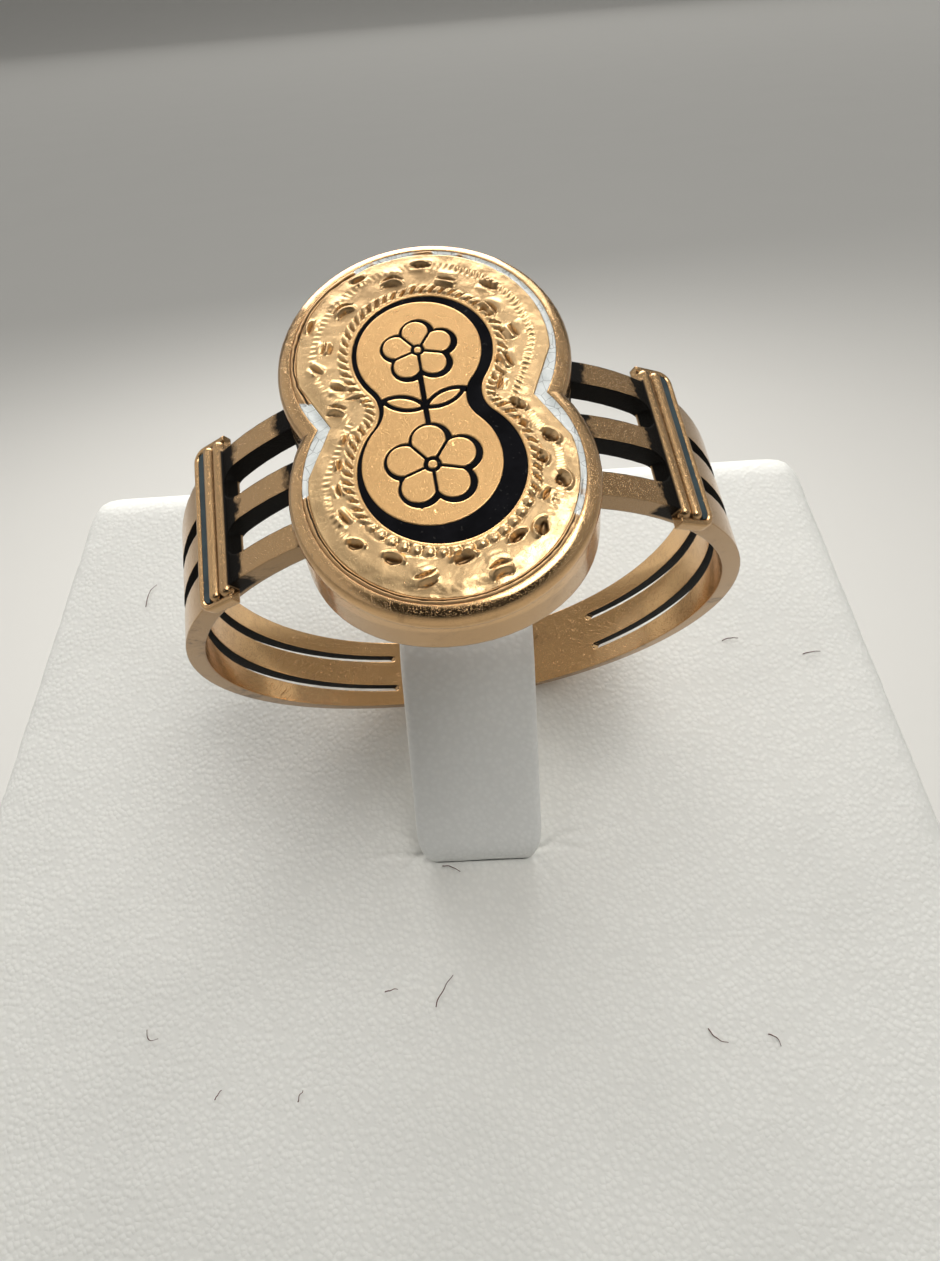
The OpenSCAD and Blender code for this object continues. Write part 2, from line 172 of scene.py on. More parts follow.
# The fibres on the cover: from x, y to x, y in the face's frame, and how far each one bends, then their
# thickness, how they thin out, and the steps along and round them
FIBRES = (
    (-2.04, -13.99, -1.33, -12.85, 0.08), (-13.65, -14.43, -13.17, -14.77, -0.22),
    (8.49, -15.09, 9.17, -15.63, -0.12), (10.73, -15.37, 11.15, -15.8, 0.12),
    (-15.78, 4.09, -15.36, 5.24, 0.15), (14.92, -0.14, 15.71, 0.0, 0.03), (-1.65, -8.62, -0.91, -8.9, 0.1),
    (-10.69, -16.96, -10.44, -16.63, 0.03), (-4.08, -13.34, -3.56, -13.32, 0.02),
    (11.43, 0.74, 12.17, 0.84, 0.08), (-7.44, -17.12, -7.26, -16.72, 0.03),
)
FIBRE_R, FIBRE_TAPER, FIBRE_STEPS, FIBRE_SIDES = 0.022, 0.45, 12, 6

# The camera that the photograph was taken with, in the object's frame, and its lens
CAMERA_AT = (2.69, -20.74, 49.28)
CAMERA_AXIS = (-0.0369, 0.7811, -0.6233)
CAMERA_UP = (0.0552, 0.6243, 0.7792)
LENS, SENSOR = 22.74, 36.0

# The stage in metres: the floor with its sweep up to a wall, and the lamps with place, size and colour
FLOOR_HALF, FLOOR_BACK, SWEEP, WALL_TOP = 4.0, 2.5, 1.0, 3.0
LAMPS = (
    ("key", (0.045, -0.05, 0.16), 0.06, (1.0, 0.985, 0.95)),
    ("top", (-0.015, 0.085, 0.105), 0.09, (1.0, 0.98, 0.95)),
    ("back", (0.3, 1.6, 1.8), 1.6, (1.0, 0.99, 0.96)),
)
LAMP_AIM = (0, 0, 0.035)

# The room's light: its plain level, what the ceiling and the left add, and the dark patch in front
ROOM, CEILING, LEFT = 0.42, 0.36, 0.3
CEILING_WAY, DARK_WAY, DARK = (-0.05, -0.2, 0.98), (0.1, -0.9, 0.42), 0.92


def face_matrix():
    """The frame of the stand's slanted face, from millimetres to the object's metres."""
    return (Matrix.Scale(MM, 4) @ Matrix.Translation(FACE_TOP)
            @ Matrix.Rotation(math.radians(SLOPE), 4, "X") @ Matrix.Translation((0, -FACE_BACK, 0)))


def ring_matrix():
    """The ring's own frame, from millimetres to the object's metres."""
    return face_matrix() @ Matrix.Translation((0, 0, RING_LIFT)) @ Matrix.Rotation(math.radians(TURN), 4, "Z")


class RingGold(bpy.types.PropertyGroup):
    gold: bpy.props.FloatVectorProperty(
        name="Gold", description="Colour of the clean rose gold", subtype="COLOR", size=3,
        default=(0.72, 0.455, 0.225), min=0, max=1)
    dull: bpy.props.FloatVectorProperty(
        name="Dull gold", description="Colour of the gold where it has dulled", subtype="COLOR", size=3,
        default=(0.34, 0.215, 0.108), min=0, max=1)
    # Near black for the dirt beside the crossbars and at the bars' roots, and for painted shade, partly dirt,
    # on the slots' walls and in the deepest hollows; the pale line's cracks take it too
    dirt_and_shade: bpy.props.FloatVectorProperty(
        name="Dirt", description="Colour of the dirt beside the crossbars and in the slots", subtype="COLOR",
        size=3, default=(0.007, 0.006, 0.005), min=0, max=1)
    scratch: bpy.props.FloatProperty(
        name="Scratches", description="Depth of the fine scratches", subtype="DISTANCE", unit="LENGTH",
        default=0.000004, min=0, max=0.00005, precision=6)


class FaceCutting(bpy.types.PropertyGroup):
    step: bpy.props.FloatProperty(
        name="Step", description="Distance between the points of the engraved surface", subtype="DISTANCE",
        unit="LENGTH", default=0.000026, min=0.00002, max=0.0001, precision=6)
    cut_depth: bpy.props.FloatProperty(
        name="Cut depth", description="Depth of the graver's cuts", subtype="DISTANCE", unit="LENGTH",
        default=0.00012, min=0, max=0.00015, precision=6)
    tick_depth: bpy.props.FloatProperty(
        name="Tick depth", description="Depth of the rows of ticks", subtype="DISTANCE", unit="LENGTH",
        default=0.00006, min=0, max=0.0001, precision=6)
    gold: bpy.props.FloatVectorProperty(
        name="Gold", description="Colour of the engraved face", subtype="COLOR", size=3,
        default=(0.79, 0.475, 0.205), min=0, max=1)
    band: bpy.props.FloatVectorProperty(
        name="Band", description="Colour of the bright-cut band round the field", subtype="COLOR", size=3,
        default=(0.76, 0.515, 0.265), min=0, max=1)


class EnamelLooks(bpy.types.PropertyGroup):
    pale: bpy.props.FloatVectorProperty(
        name="Pale", description="Colour of the enamel line round the face", subtype="COLOR", size=3,
        default=(0.88, 0.92, 0.91), min=0, max=1)
    black: bpy.props.FloatVectorProperty(
        name="Black", description="Colour of the design's enamel", subtype="COLOR", size=3,
        default=(0.003, 0.003, 0.004), min=0, max=1)
    blue: bpy.props.FloatVectorProperty(
        name="Blue", description="Colour of the crossbars' enamel", subtype="COLOR", size=3,
        default=(0.052, 0.078, 0.088), min=0, max=1)


class StandLooks(bpy.types.PropertyGroup):
    cover: bpy.props.FloatVectorProperty(
        name="Cover", description="Colour of the block's leatherette", subtype="COLOR", size=3,
        default=(0.86, 0.86, 0.82), min=0, max=1)
    # Set a little lighter than the cover: painted light that lifts the tongue where the head shades it
    tongue: bpy.props.FloatVectorProperty(
        name="Tongue", description="Colour of the tongue's leatherette", subtype="COLOR", size=3,
        default=(0.88, 0.89, 0.87), min=0, max=1)
    pebble: bpy.props.FloatProperty(
        name="Pebble", description="Size of the leatherette's pebbles", subtype="DISTANCE", unit="LENGTH",
        default=0.00022, min=0.00005, max=0.001, precision=5)


class StageLooks(bpy.types.PropertyGroup):
    key: bpy.props.FloatProperty(
        name="Key light", description="Power of the light at the front", subtype="POWER", default=0.085,
        min=0, max=20)
    top: bpy.props.FloatProperty(
        name="Top light", description="Power of the soft light over the stand's top", subtype="POWER",
        default=0.12, min=0, max=20)
    back: bpy.props.FloatProperty(
        name="Back light", description="Power of the light on the floor behind the stand", subtype="POWER",
        default=14.0, min=0, max=20)
    sky: bpy.props.FloatProperty(
        name="Room light", description="Strength of the light that comes from the room", default=0.8,
        min=0, max=5)
    floor: bpy.props.FloatVectorProperty(
        name="Floor", description="Colour of the plain floor", subtype="COLOR", size=3,
        default=(0.62, 0.61, 0.58), min=0, max=1)


def circle(x, y, c, grow=0.0):
    """Distance to a circle, given as x, y and radius, below zero inside it."""
    return np.hypot(x - c[0], y - c[1]) - c[2] - grow


def touching(a, b, r, side):
    """Centre of a circle of radius r that touches circles a and b from outside."""
    span = np.array([b[0] - a[0], b[1] - a[1]], float)
    d = np.linalg.norm(span)
    along = ((a[2] + r) ** 2 - (b[2] + r) ** 2 + d * d) / (2 * d)
    across = math.sqrt((a[2] + r) ** 2 - along * along)
    unit = span / d
    return np.array(a[:2]) + along * unit + side * across * np.array([-unit[1], unit[0]])


def blended(x, y, a, b, blend, grow=0.0):
    """Distance to two circles that are joined by a waist of arcs."""
    sides = [touching(a, b, blend, s) for s in (1, -1)]
    kite = np.full_like(x, -np.inf)
    for c, sign in ((sides[0], 1), (sides[1], -1)):
        for end in (a, b):
            edge = np.array([c[0] - end[0], c[1] - end[1]])
            edge /= np.linalg.norm(edge)
            n = np.array([-edge[1], edge[0]]) * (sign if end is b else -sign)
            kite = np.maximum(kite, -((x - end[0]) * n[0] + (y - end[1]) * n[1]))
    for c in sides:
        kite = np.maximum(kite, blend - grow - np.hypot(x - c[0], y - c[1]))
    return np.minimum(np.minimum(circle(x, y, a, grow), circle(x, y, b, grow)), kite)


def bar(x, y, cx, cy, wide, high, turn=0.0):
    """Distance to a rectangle that is centred on cx, cy."""
    c, s = math.cos(math.radians(turn)), math.sin(math.radians(turn))
    u = np.abs((x - cx) * c + (y - cy) * s) - wide / 2
    v = np.abs(-(x - cx) * s + (y - cy) * c) - high / 2
    return np.maximum(u, v)


def flower(x, y, f, grow):
    """Distance to the outline of a flower, which is given as x, y and radius."""
    d = circle(x, y, (f[0], f[1], f[2] * MIDDLE), grow)
    for i in range(PETALS):
        a = math.radians(90 + i * 360 / PETALS)
        reach = f[2] * (1 - PETAL)
        petal = (f[0] + reach * math.cos(a), f[1] + reach * math.sin(a), f[2] * PETAL)
        d = np.minimum(d, circle(x, y, petal, grow))
    return d


def ink(x, y):
    """Distance to the black lines of the design, below zero inside them."""
    d = np.maximum(blended(x, y, RING_LOW, RING_HIGH, RING_BLEND),
                   -blended(x, y, FIELD_LOW, FIELD_HIGH, FIELD_BLEND))
    for f in FLOWERS:
        outline = np.maximum(flower(x - SHADE[0], y - SHADE[1], f, LINE_W), -flower(x, y, f, 0))
        eye = f[2] * EYE
        eye_r = (1 - EYE_LINE) * eye
        centre = np.abs(np.hypot(x - f[0], y - f[1]) - eye_r) - EYE_LINE * eye
        d = np.minimum(d, np.minimum(outline, centre))
        mid = (eye_r + VEIN * f[2]) / 2
        for i in range(PETALS):
            a = 90 + (i + 0.5) * 360 / PETALS
            cx, cy = f[0] + mid * math.cos(math.radians(a)), f[1] + mid * math.sin(math.radians(a))
            d = np.minimum(d, bar(x, y, cx, cy, VEIN * f[2] - eye_r, VEIN_W, a))
    sx, sy, length, arc, tilt = LEAF
    sink = math.sqrt(arc ** 2 - (length / 2) ** 2)
    for side in (1, -1):
        c, s = math.cos(math.radians(tilt)), math.sin(math.radians(tilt))
        px, py = (x - sx) * side, y - sy
        u, v = px * c + py * s - length / 2, -px * s + py * c
        leaf = np.maximum(np.hypot(u, v - sink), np.hypot(u, v + sink)) - arc
        d = np.minimum(d, np.abs(leaf) - LINE_W / 2)
    x0, w, low, high = STEM
    return np.minimum(d, bar(x, y, x0, (low + high) / 2, w, high - low))


def plate(x, y):
    """Distance to the face plate's outline, below zero inside it."""
    lobes = np.minimum(circle(x, y, (0, LOBE_OFF, PLATE_R)), circle(x, y, (0, -LOBE_OFF, PLATE_R)))
    k = math.hypot(1, NOTCH_SLOPE)
    return np.maximum(lobes, (np.abs(x) - WAIST - NOTCH_SLOPE * np.abs(y)) / k)


def rolling(x, y, scale, seed, octaves=2):
    """Smooth noise from sums of sines, from about -1 to 1."""
    rng, waves = random.Random(seed), 5
    total = np.zeros_like(x)
    for o in range(octaves):
        for _ in range(waves):
            a, p = rng.uniform(0, math.tau), rng.uniform(0, math.tau)
            f = rng.uniform(0.7, 1.4) * math.tau / scale * 2 ** o
            total += np.sin(f * (x * math.cos(a) + y * math.sin(a)) + p) / 2 ** o
    return total / waves


def ramp(v, low, high):
    """From 0 at low to 1 at high, smoothly."""
    t = np.clip((v - low) / (high - low), 0, 1)
    return t * t * (3 - 2 * t)


def outline_points(distance, count, centre=(0, 0)):
    """Points on a closed outline, found by marching out from its middle, with their length along it."""
    a, farthest, halvings = np.linspace(0, math.tau, count, endpoint=False), 6.0, 40
    low, high = np.zeros(count), np.full(count, farthest)
    for _ in range(halvings):
        mid = (low + high) / 2
        inside = distance(centre[0] + mid * np.cos(a), centre[1] + mid * np.sin(a)) < 0
        low, high = np.where(inside, mid, low), np.where(inside, high, mid)
    points = np.stack([centre[0] + low * np.cos(a), centre[1] + low * np.sin(a)], 1)
    steps = np.linalg.norm(np.roll(points, -1, 0) - points, axis=1)
    return points, np.concatenate([[0], np.cumsum(steps)[:-1]])


def along_outline(x, y, points, lengths):
    """Length along the outline of the point of it that lies nearest, for each x, y."""
    found, block = np.empty(len(x)), 4000
    for i in range(0, len(x), block):
        d = (x[i:i + block, None] - points[:, 0]) ** 2 + (y[i:i + block, None] - points[:, 1]) ** 2
        found[i:i + block] = lengths[d.argmin(1)]
    return found


def groove(u, v, width, depth):
    """A pointed groove along u from -1 to 1: a steep wall on one side and a long slope on the other."""
    taper = np.clip(1 - u * u, 0, 1)
    w = width / 2 * taper ** 0.7 + SMALL
    q = v / w
    return -depth * np.clip(np.where(q < LIP, (q + 1) / (1 + LIP), (1 - q) / (1 - LIP)), 0, 1) * taper ** 0.4


def mound(v, middle, wide):
    """A soft ridge across v, 1 high on its middle line."""
    return np.exp(-((v - middle) / wide) ** 2)


def heart_cut(u, v, bow, width, depth):
    """A round-ended hole that narrows to a point, with the metal pushed up on one side."""
    inside = np.clip(1 - u * u, 0, 1)
    w = width / 2 * np.sqrt(inside) * np.where(u > 0, 1 - HEART["point"] * u, 1.0) + SMALL
    q = bow / w
    floor = np.clip(1.25 - np.abs(q + 0.25 * (1 - u)) * 1.15, 0, 1)
    hole = -depth * floor * (np.abs(q) < 1) * inside ** 0.35
    border = mound(np.hypot(u, v / (width / 2)), HEART["border_at"], HEART["border_wide"])
    return hole + HEART["border"] * depth * border * (0.45 + 0.5 * np.sign(v) * ramp(np.abs(v), 0, 0.05))


def graver_cut(x, y, row, depth):
    """One cut with the metal that it pushed up: a bent groove, a pair with a leaf between, or a heart."""
    x0, y0, turn, length, width, bend, kind = row
    c, s = math.cos(math.radians(turn)), math.sin(math.radians(turn))
    reach = length / 2 * (HEART["length"] if kind == "heart" else 1.0)
    u = ((x - x0) * c + (y - y0) * s) / reach
    v = (-(x - x0) * s + (y - y0) * c)
    inside = np.clip(1 - u * u, 0, 1)
    arc = (length / 2) ** 2 * (u * u - 0.4)
    bow = v - bend * arc
    if kind == "heart":
        return heart_cut(u, v, bow, width, depth)
    main = groove(u, bow, width * STROKE, depth)
    if kind == "arch":
        second = v + ARCH["apart"] * width - bend * ARCH["bend"] * arc
        second = groove(u * 1.15 + 0.1, second, width * ARCH["stroke"], depth * ARCH["second"])
        main = np.minimum(main, second)
        leaf = mound(bow, -ARCH["leaf_at"] * width, ARCH["leaf_wide"] * width) * inside ** 0.5
        return main + depth * (0.85 * leaf + 0.3 * mound(bow, 0.7 * width, 0.4 * width) * inside)
    puff = mound(bow, PUFF["at"] * width, PUFF["wide"] * width) * inside
    far = mound(bow, -PUFF["far_at"] * width, PUFF["far_wide"] * width) * inside
    return main + depth * (PUFF["high"] * puff + PUFF["far_high"] * far)


def black_ring(x, y):
    """Distance to the outside of the black ring, below zero inside it."""
    return blended(x, y, RING_LOW, RING_HIGH, RING_BLEND)


def inner_row(x, y, out):
    """The slanted ticks at a distance out from the black ring, which turn into beads at its low end."""
    s = along_outline(x, y, *outline_points(black_ring, 900))
    wave = np.mod((s + TICK_SLANT * out + 0.03 * rolling(x, y, 1.3, 13)) / TICK_PITCH, 1)
    teeth = np.minimum(2.6 * np.abs(np.sin(math.pi * wave)) - 1.2, 0.8)
    reach = TICK_TO + 0.05 * rolling(x, y, 0.9, 12)
    across = ramp(out, *TICK_FROM) * (1 - ramp(out, reach - 0.09, reach))
    part = np.mod(s, BEAD_PITCH) - BEAD_PITCH / 2
    beads = np.sqrt(np.clip(1 - (part / BEAD_HALF[0]) ** 2 - ((out - BEAD_OUT) / BEAD_HALF[1]) ** 2, 0, 1))
    low = ramp(-y, 2.5, 3.0)
    return (1 - low) * across * (teeth * 1.2 - 0.1) + low * (1.5 * beads - 0.5 * across)


def outer_row(x, y, edge):
    """The fainter ticks near the plate's edge, which fade out to the left and at the low end."""
    around = np.arctan2(y - np.where(y > 0, 1.0, -1.0) * LOBE_OFF, x)
    wave = np.clip(1.6 * np.sin(PLATE_R * around * OUTER_SPREAD * math.tau / OUTER_PITCH + 4 * edge), -1, 1)
    strong = np.where(y > 0, 0.35 + 0.65 * ramp(x, 0.4, 1.8), 0.55 - 0.55 * ramp(-y, 2.8, 3.6))
    centre = OUTER_IN + 0.03 * rolling(x, y, 1.1, 21)
    width = np.clip(1 - ((edge - centre) / OUTER_HALF) ** 2, 0, 1)
    return strong * width * (wave * 0.36 - 0.16)


def face_height(x, y, cut_depth, tick_depth):
    """Height of the engraved face over its flat top, and the share of it that is cut marks."""
    edge, ring = -plate(x, y), black_ring(x, y)
    ground = sum(high * rolling(x, y, *wave) for high, *wave in BAND_WAVES) - BAND_SINK
    h = FACE_WAVES[0] * rolling(x, y, *FACE_WAVES[1:]) + ramp(ring, 0.02, 0.2) * ground
    h -= EDGE_WORN * (1 - ramp(edge, 0.0, EDGE_REACH)) * (0.55 + 0.45 * ramp(-y, 2.5, 4.5))
    marks = np.zeros_like(h)
    near = np.flatnonzero((ring > 0.03) & (ring < 0.52))
    marks[near] += tick_depth * inner_row(x[near], y[near], ring[near])
    near = np.flatnonzero((edge > 0.22) & (edge < 0.62))
    marks[near] += tick_depth * outer_row(x[near], y[near], edge[near])
    for cut in CUTS:
        near = np.flatnonzero((np.abs(x - cut[0]) < CUT_REACH) & (np.abs(y - cut[1]) < CUT_REACH))
        marks[near] += graver_cut(x[near], y[near], cut, cut_depth) * ramp(ring[near], 0.0, 0.1)
    for px, py in PITS:
        marks -= PIT_DEPTH * np.exp(-((x - px) ** 2 + (y - py) ** 2) / PIT_SPREAD)
    return h + marks, marks


def face_mesh(step, height):
    """The engraved surface as points and triangles, cut along the plate's edge and the black lines."""
    def region(x, y):
        return np.maximum(plate(x, y), -ink(x, y))

    xs, ys = [np.arange(-reach, reach, step) for reach in GRID_REACH]
    gx, gy = [g.ravel() for g in np.meshgrid(xs, ys)]
    d = region(gx, gy)
    on_edge, e, flattest = np.abs(d) < step * 0.56, step * 0.05, 0.3
    near = np.flatnonzero(on_edge)
    for _ in range(3):
        x, y = gx[near], gy[near]
        r = region(x, y)
        sx = (region(x + e, y) - region(x - e, y)) / (2 * e)
        sy = (region(x, y + e) - region(x, y - e)) / (2 * e)
        k = r / np.maximum(sx * sx + sy * sy, flattest)
        gx[near], gy[near] = x - k * sx, y - k * sy
    side = np.where(on_edge, 0, np.sign(d)).astype(int)
    cols = len(xs)
    a = (np.arange(len(ys) - 1)[:, None] * cols + np.arange(cols - 1)[None, :]).ravel()
    quad = np.stack([a, a + 1, a + cols + 1, a + cols], 1)
    out = side[quad] > 0
    whole = quad[(out.sum(1) == 0) & (side[quad].min(1) < 0)]
    tris = [whole[:, [0, 1, 2]], whole[:, [0, 2, 3]]]
    single = (out.sum(1) == 1) & (side[quad].min(1) < 0)
    for corner in range(4):
        part = quad[single & out[:, corner]]
        tris.append(part[:, [(corner + 1) % 4, (corner + 2) % 4, (corner + 3) % 4]])
    tris = np.concatenate(tris)
    used, tris = np.unique(tris, return_inverse=True)
    tris = tris.reshape(-1, 3)
    x, y = gx[used], gy[used]
    return x, y, height(x, y), tris


def new_piece(name, points, faces, replaced=(), matrix=None, smooth=True):
    """Makes a mesh object, in the object's frame, that rides on the root body."""
    mesh = bpy.data.meshes.new(name)
    mesh.from_pydata([tuple(p) for p in points], [], [tuple(f) for f in faces])
    if matrix is not None:
        mesh.transform(matrix)
    mesh.validate()
    mesh.polygons.foreach_set("use_smooth", [smooth] * len(mesh.polygons))
    piece = bpy.data.objects.new(name, mesh)
    bpy.context.scene.collection.objects.link(piece)
    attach(piece, "root")
    if replaced:
        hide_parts(*replaced)
    return piece


def band_faces(rings, count, start=0, closed=False, flipped=False):
    """The quads between rings of points: the last ring may meet the first, and the quads may be flipped."""
    faces = []
    for j in range(rings if closed else rings - 1):
        low, high = start + j * count, start + (j + 1) % rings * count
        for i in range(count):
            m = (i + 1) % count
            quad = (low + i, low + m, high + m, high + i)
            faces.append(quad if flipped else (quad[0], *quad[:0:-1]))
    return faces


def add_attributes(piece, **sets):
    """Gives the points of a piece one number each, under each name."""
    for name, values in sets.items():
        piece.data.attributes.new(name, "FLOAT", "POINT").data.foreach_set("value", values.astype(np.float32))


def open_edges(tris):
    """Edges that only one triangle has, each in that triangle's direction."""
    edges = np.concatenate([tris[:, [0, 1]], tris[:, [1, 2]], tris[:, [2, 0]]])
    key = np.sort(edges, 1)
    _, first, count = np.unique(key, axis=0, return_index=True, return_counts=True)
    return edges[first[count == 1]]


class Nodes:
    """Adds nodes and links to a material's or a group's tree, in few words."""

    def __init__(self, tree):
        self.tree = tree

    def add(self, kind, inputs=None, **settings):
        node = self.tree.nodes.new(kind)
        for key, value in settings.items():
            setattr(node, key, value)
        for key, value in (inputs or {}).items():
            socket = node.inputs[key]
            if isinstance(value, bpy.types.NodeSocket):
                self.tree.links.new(value, socket)
            else:
                socket.default_value = value
        return node

    def math(self, operation, a, b=0.0, c=0.0, clamp=False):
        """One sum of up to three values, each a number or a socket."""
        node = self.add("ShaderNodeMath", {0: a, 1: b, 2: c}, operation=operation, use_clamp=clamp)
        return node.outputs[0]

    def times(self, *values):
        """The product of two or more values."""
        total = values[0]
        for value in values[1:]:
            total = self.math("MULTIPLY", total, value)
        return total

    def dot(self, a, b):
        """How far direction a points along direction b."""
        return self.add("ShaderNodeVectorMath", {0: a, 1: b}, operation="DOT_PRODUCT").outputs["Value"]

    def bump(self, height, strength, distance, shader, **normal):
        """Feeds a height to a shader's normal."""
        node = self.add("ShaderNodeBump", {"Height": height, "Strength": strength, "Distance": distance,
                                           **normal})
        self.join(node.outputs[0], shader.inputs["Normal"])

    def mix(self, share, a, b):
        """Colour a, or b where the share is 1."""
        node = self.add("ShaderNodeMix", data_type="RGBA")
        for socket, value in ((node.inputs[0], share), (node.inputs[6], a), (node.inputs[7], b)):
            if isinstance(value, bpy.types.NodeSocket):
                self.tree.links.new(value, socket)
            elif socket.type == "RGBA":
                socket.default_value = (*value[:3], 1)
            else:
                socket.default_value = value
        return node.outputs[2]

    def noise(self, vector, scale, detail=3.0, rough=0.55, distortion=0.0):
        return self.add("ShaderNodeTexNoise", {"Vector": vector, "Scale": scale, "Detail": detail,
                                               "Roughness": rough, "Distortion": distortion}).outputs["Fac"]

    def step(self, value, low, high):
        """From 0 at low to 1 at high, smoothly."""
        return self.add("ShaderNodeMapRange", {"Value": value, "From Min": low, "From Max": high},
                        interpolation_type="SMOOTHSTEP").outputs["Result"]

    def join(self, source, target):
        self.tree.links.new(source, target)


def new_group(name, inputs, outputs):
    """A shader node group with named sockets, each as (name, type, default)."""
    tree = bpy.data.node_groups.new(name, "ShaderNodeTree")
    for way, sockets in (("INPUT", inputs), ("OUTPUT", outputs)):
        for label, kind, default in sockets:
            socket = tree.interface.new_socket(name=label, in_out=way, socket_type="NodeSocket" + kind)
            if default is not None:
                socket.default_value = default
    n = Nodes(tree)
    return n, n.add("NodeGroupInput"), n.add("NodeGroupOutput")


def group_node(n, name, inputs=None):
    node = n.add("ShaderNodeGroup", node_tree=bpy.data.node_groups[name])
    for key, value in (inputs or {}).items():
        if isinstance(value, bpy.types.NodeSocket):
            n.join(value, node.inputs[key])
        else:
            node.inputs[key].default_value = value
    return node


def ring_place_group():
    """Where a point lies in the ring's frame: its place, angle from the head, radius and facing."""
    n, _, out = new_group("ring_place", (), (("Place", "Vector", None), *(
        (name, "Float", None) for name in ("Angle", "Radius", "Along", "Height", "Along facing"))))
    matrix = ring_matrix()
    where = n.add("ShaderNodeTexCoord").outputs["Object"]
    place = n.add("ShaderNodeMapping", {"Vector": where, "Location": matrix.to_translation(),
                                        "Rotation": matrix.to_euler("XYZ"), "Scale": matrix.to_scale()},
                  vector_type="TEXTURE").outputs[0]
    split = n.add("ShaderNodeSeparateXYZ", {0: place})
    x, y, z = split.outputs
    radius = n.math("SQRT", n.math("ADD", n.times(x, x), n.times(z, z)))
    finger = (matrix.to_3x3() @ Vector((0, 1, 0))).normalized()
    facing = n.dot(n.add("ShaderNodeNewGeometry").outputs["Normal"], finger)
    angle = n.times(n.math("ARCTAN2", n.math("ABSOLUTE", x), z), 180 / math.pi)
    n.join(place, out.inputs["Place"])
    n.join(angle, out.inputs["Angle"])
    n.join(radius, out.inputs["Radius"])
    n.join(y, out.inputs["Along"])
    n.join(z, out.inputs["Height"])
    n.join(n.math("ABSOLUTE", facing), out.inputs["Along facing"])


def scratches_group():
    """Fine straight scratches in several directions, and small pits, as a height and a mask."""
    n, inp, out = new_group("fine_scratches", (("Place", "Vector", None), ("Size", "Float", 1.0)), (
        ("Height", "Float", None), ("Mask", "Float", None)))
    total, place, size = None, inp.outputs["Place"], inp.outputs["Size"]
    for turn, stretch in ((0.5, 34), (1.45, 42), (2.5, 38)):
        turned = n.add("ShaderNodeMapping", {"Vector": place, "Rotation": (0.4, turn, turn * 1.7)})
        long = n.add("ShaderNodeVectorMath", {0: turned.outputs[0], 1: (1.0, stretch * 0.6, stretch)},
                     operation="MULTIPLY").outputs[0]
        line = n.step(n.noise(long, size, 2.0, 0.6, 0.1), 0.62, 0.76)
        total = line if total is None else n.math("MAXIMUM", total, line)
    pits = n.step(n.noise(place, n.times(size, 9.0), 1.0), 0.72, 0.8)
    n.join(n.math("SUBTRACT", n.times(total, -1.0), pits), out.inputs["Height"])
    n.join(n.math("MAXIMUM", total, pits), out.inputs["Mask"])


def tarnish_group():
    """Clouds of dulled metal, with a share between 0 and 1."""
    n, inp, out = new_group("tarnish", (
        ("Place", "Vector", None), ("Size", "Float", 1.0), ("Share", "Float", 0.5)),
        (("Mask", "Float", None),))
    place, size = inp.outputs["Place"], inp.outputs["Size"]
    broad = n.noise(place, size, 4.0, 0.6, 0.4)
    fine = n.noise(place, n.times(size, 6.0), 3.0, 0.65)
    both = n.math("ADD", n.times(broad, 0.7), n.times(fine, 0.3))
    low = n.math("SUBTRACT", 0.75, n.times(inp.outputs["Share"], 0.45))
    n.join(n.step(both, low, n.math("ADD", low, 0.22)), out.inputs["Mask"])


def leather_group():
    """Pebbled leatherette: a height, and a mask of the valleys between the pebbles."""
    n, inp, out = new_group("leather_grain", (("Size", "Float", 4000.0),), (
        ("Height", "Float", None), ("Valleys", "Float", None), ("Clouds", "Float", None)))
    where, sway = n.add("ShaderNodeTexCoord").outputs["Object"], 0.00007
    cloud = n.add("ShaderNodeTexNoise", {"Vector": where, "Scale": 2600.0, "Detail": 2.0}).outputs["Color"]
    moved = n.add("ShaderNodeVectorMath", {0: cloud, 1: (sway, sway, sway)}, operation="MULTIPLY").outputs[0]
    bent = n.add("ShaderNodeVectorMath", {0: where, 1: moved}, operation="ADD").outputs[0]
    cells = n.add("ShaderNodeTexVoronoi", {"Vector": bent, "Scale": inp.outputs["Size"], "Randomness": 1.0},
                  feature="F1")
    mounds = n.step(cells.outputs["Distance"], 0.75, 0.1)
    broad = n.noise(where, 700.0, 3.0)
    fine = n.noise(where, 9000.0, 2.0)
    uneven = n.math("ADD", n.times(broad, 0.9), n.times(fine, 0.12))
    n.join(n.math("ADD", n.times(mounds, 0.5), uneven), out.inputs["Height"])
    n.join(n.math("SUBTRACT", 1.0, mounds), out.inputs["Valleys"])
    n.join(n.noise(where, 140.0, 4.0), out.inputs["Clouds"])


def smooth_curves():
    """A geometry node group that shades the curved surfaces smoothly and keeps the corners sharp."""
    tree = bpy.data.node_groups.new("smooth_curves", "GeometryNodeTree")
    for way in ("INPUT", "OUTPUT"):
        tree.interface.new_socket(name="Geometry", in_out=way, socket_type="NodeSocketGeometry")
    n, closest, corner = Nodes(tree), 0.0000005, math.radians(22)
    start = n.add("NodeGroupInput").outputs[0]
    shape = n.add("GeometryNodeMergeByDistance", {"Geometry": start, "Distance": closest}).outputs[0]
    turn = n.add("GeometryNodeInputMeshEdgeAngle").outputs["Unsigned Angle"]
    gentle = n.add("ShaderNodeMath", {0: turn, 1: corner}, operation="LESS_THAN").outputs[0]
    for domain, smooth in (("FACE", True), ("EDGE", gentle)):
        shape = n.add("GeometryNodeSetShadeSmooth", {"Geometry": shape, "Shade Smooth": smooth},
                      domain=domain).outputs[0]
    n.join(shape, n.add("NodeGroupOutput").inputs[0])
    return tree


def new_material(name):
    material = bpy.data.materials.new(name)
    material.use_nodes = True
    material.node_tree.nodes.clear()
    n = Nodes(material.node_tree)
    shader = n.add("ShaderNodeBsdfPrincipled")
    n.join(shader.outputs[0], n.add("ShaderNodeOutputMaterial").inputs[0])
    return material, n, shader


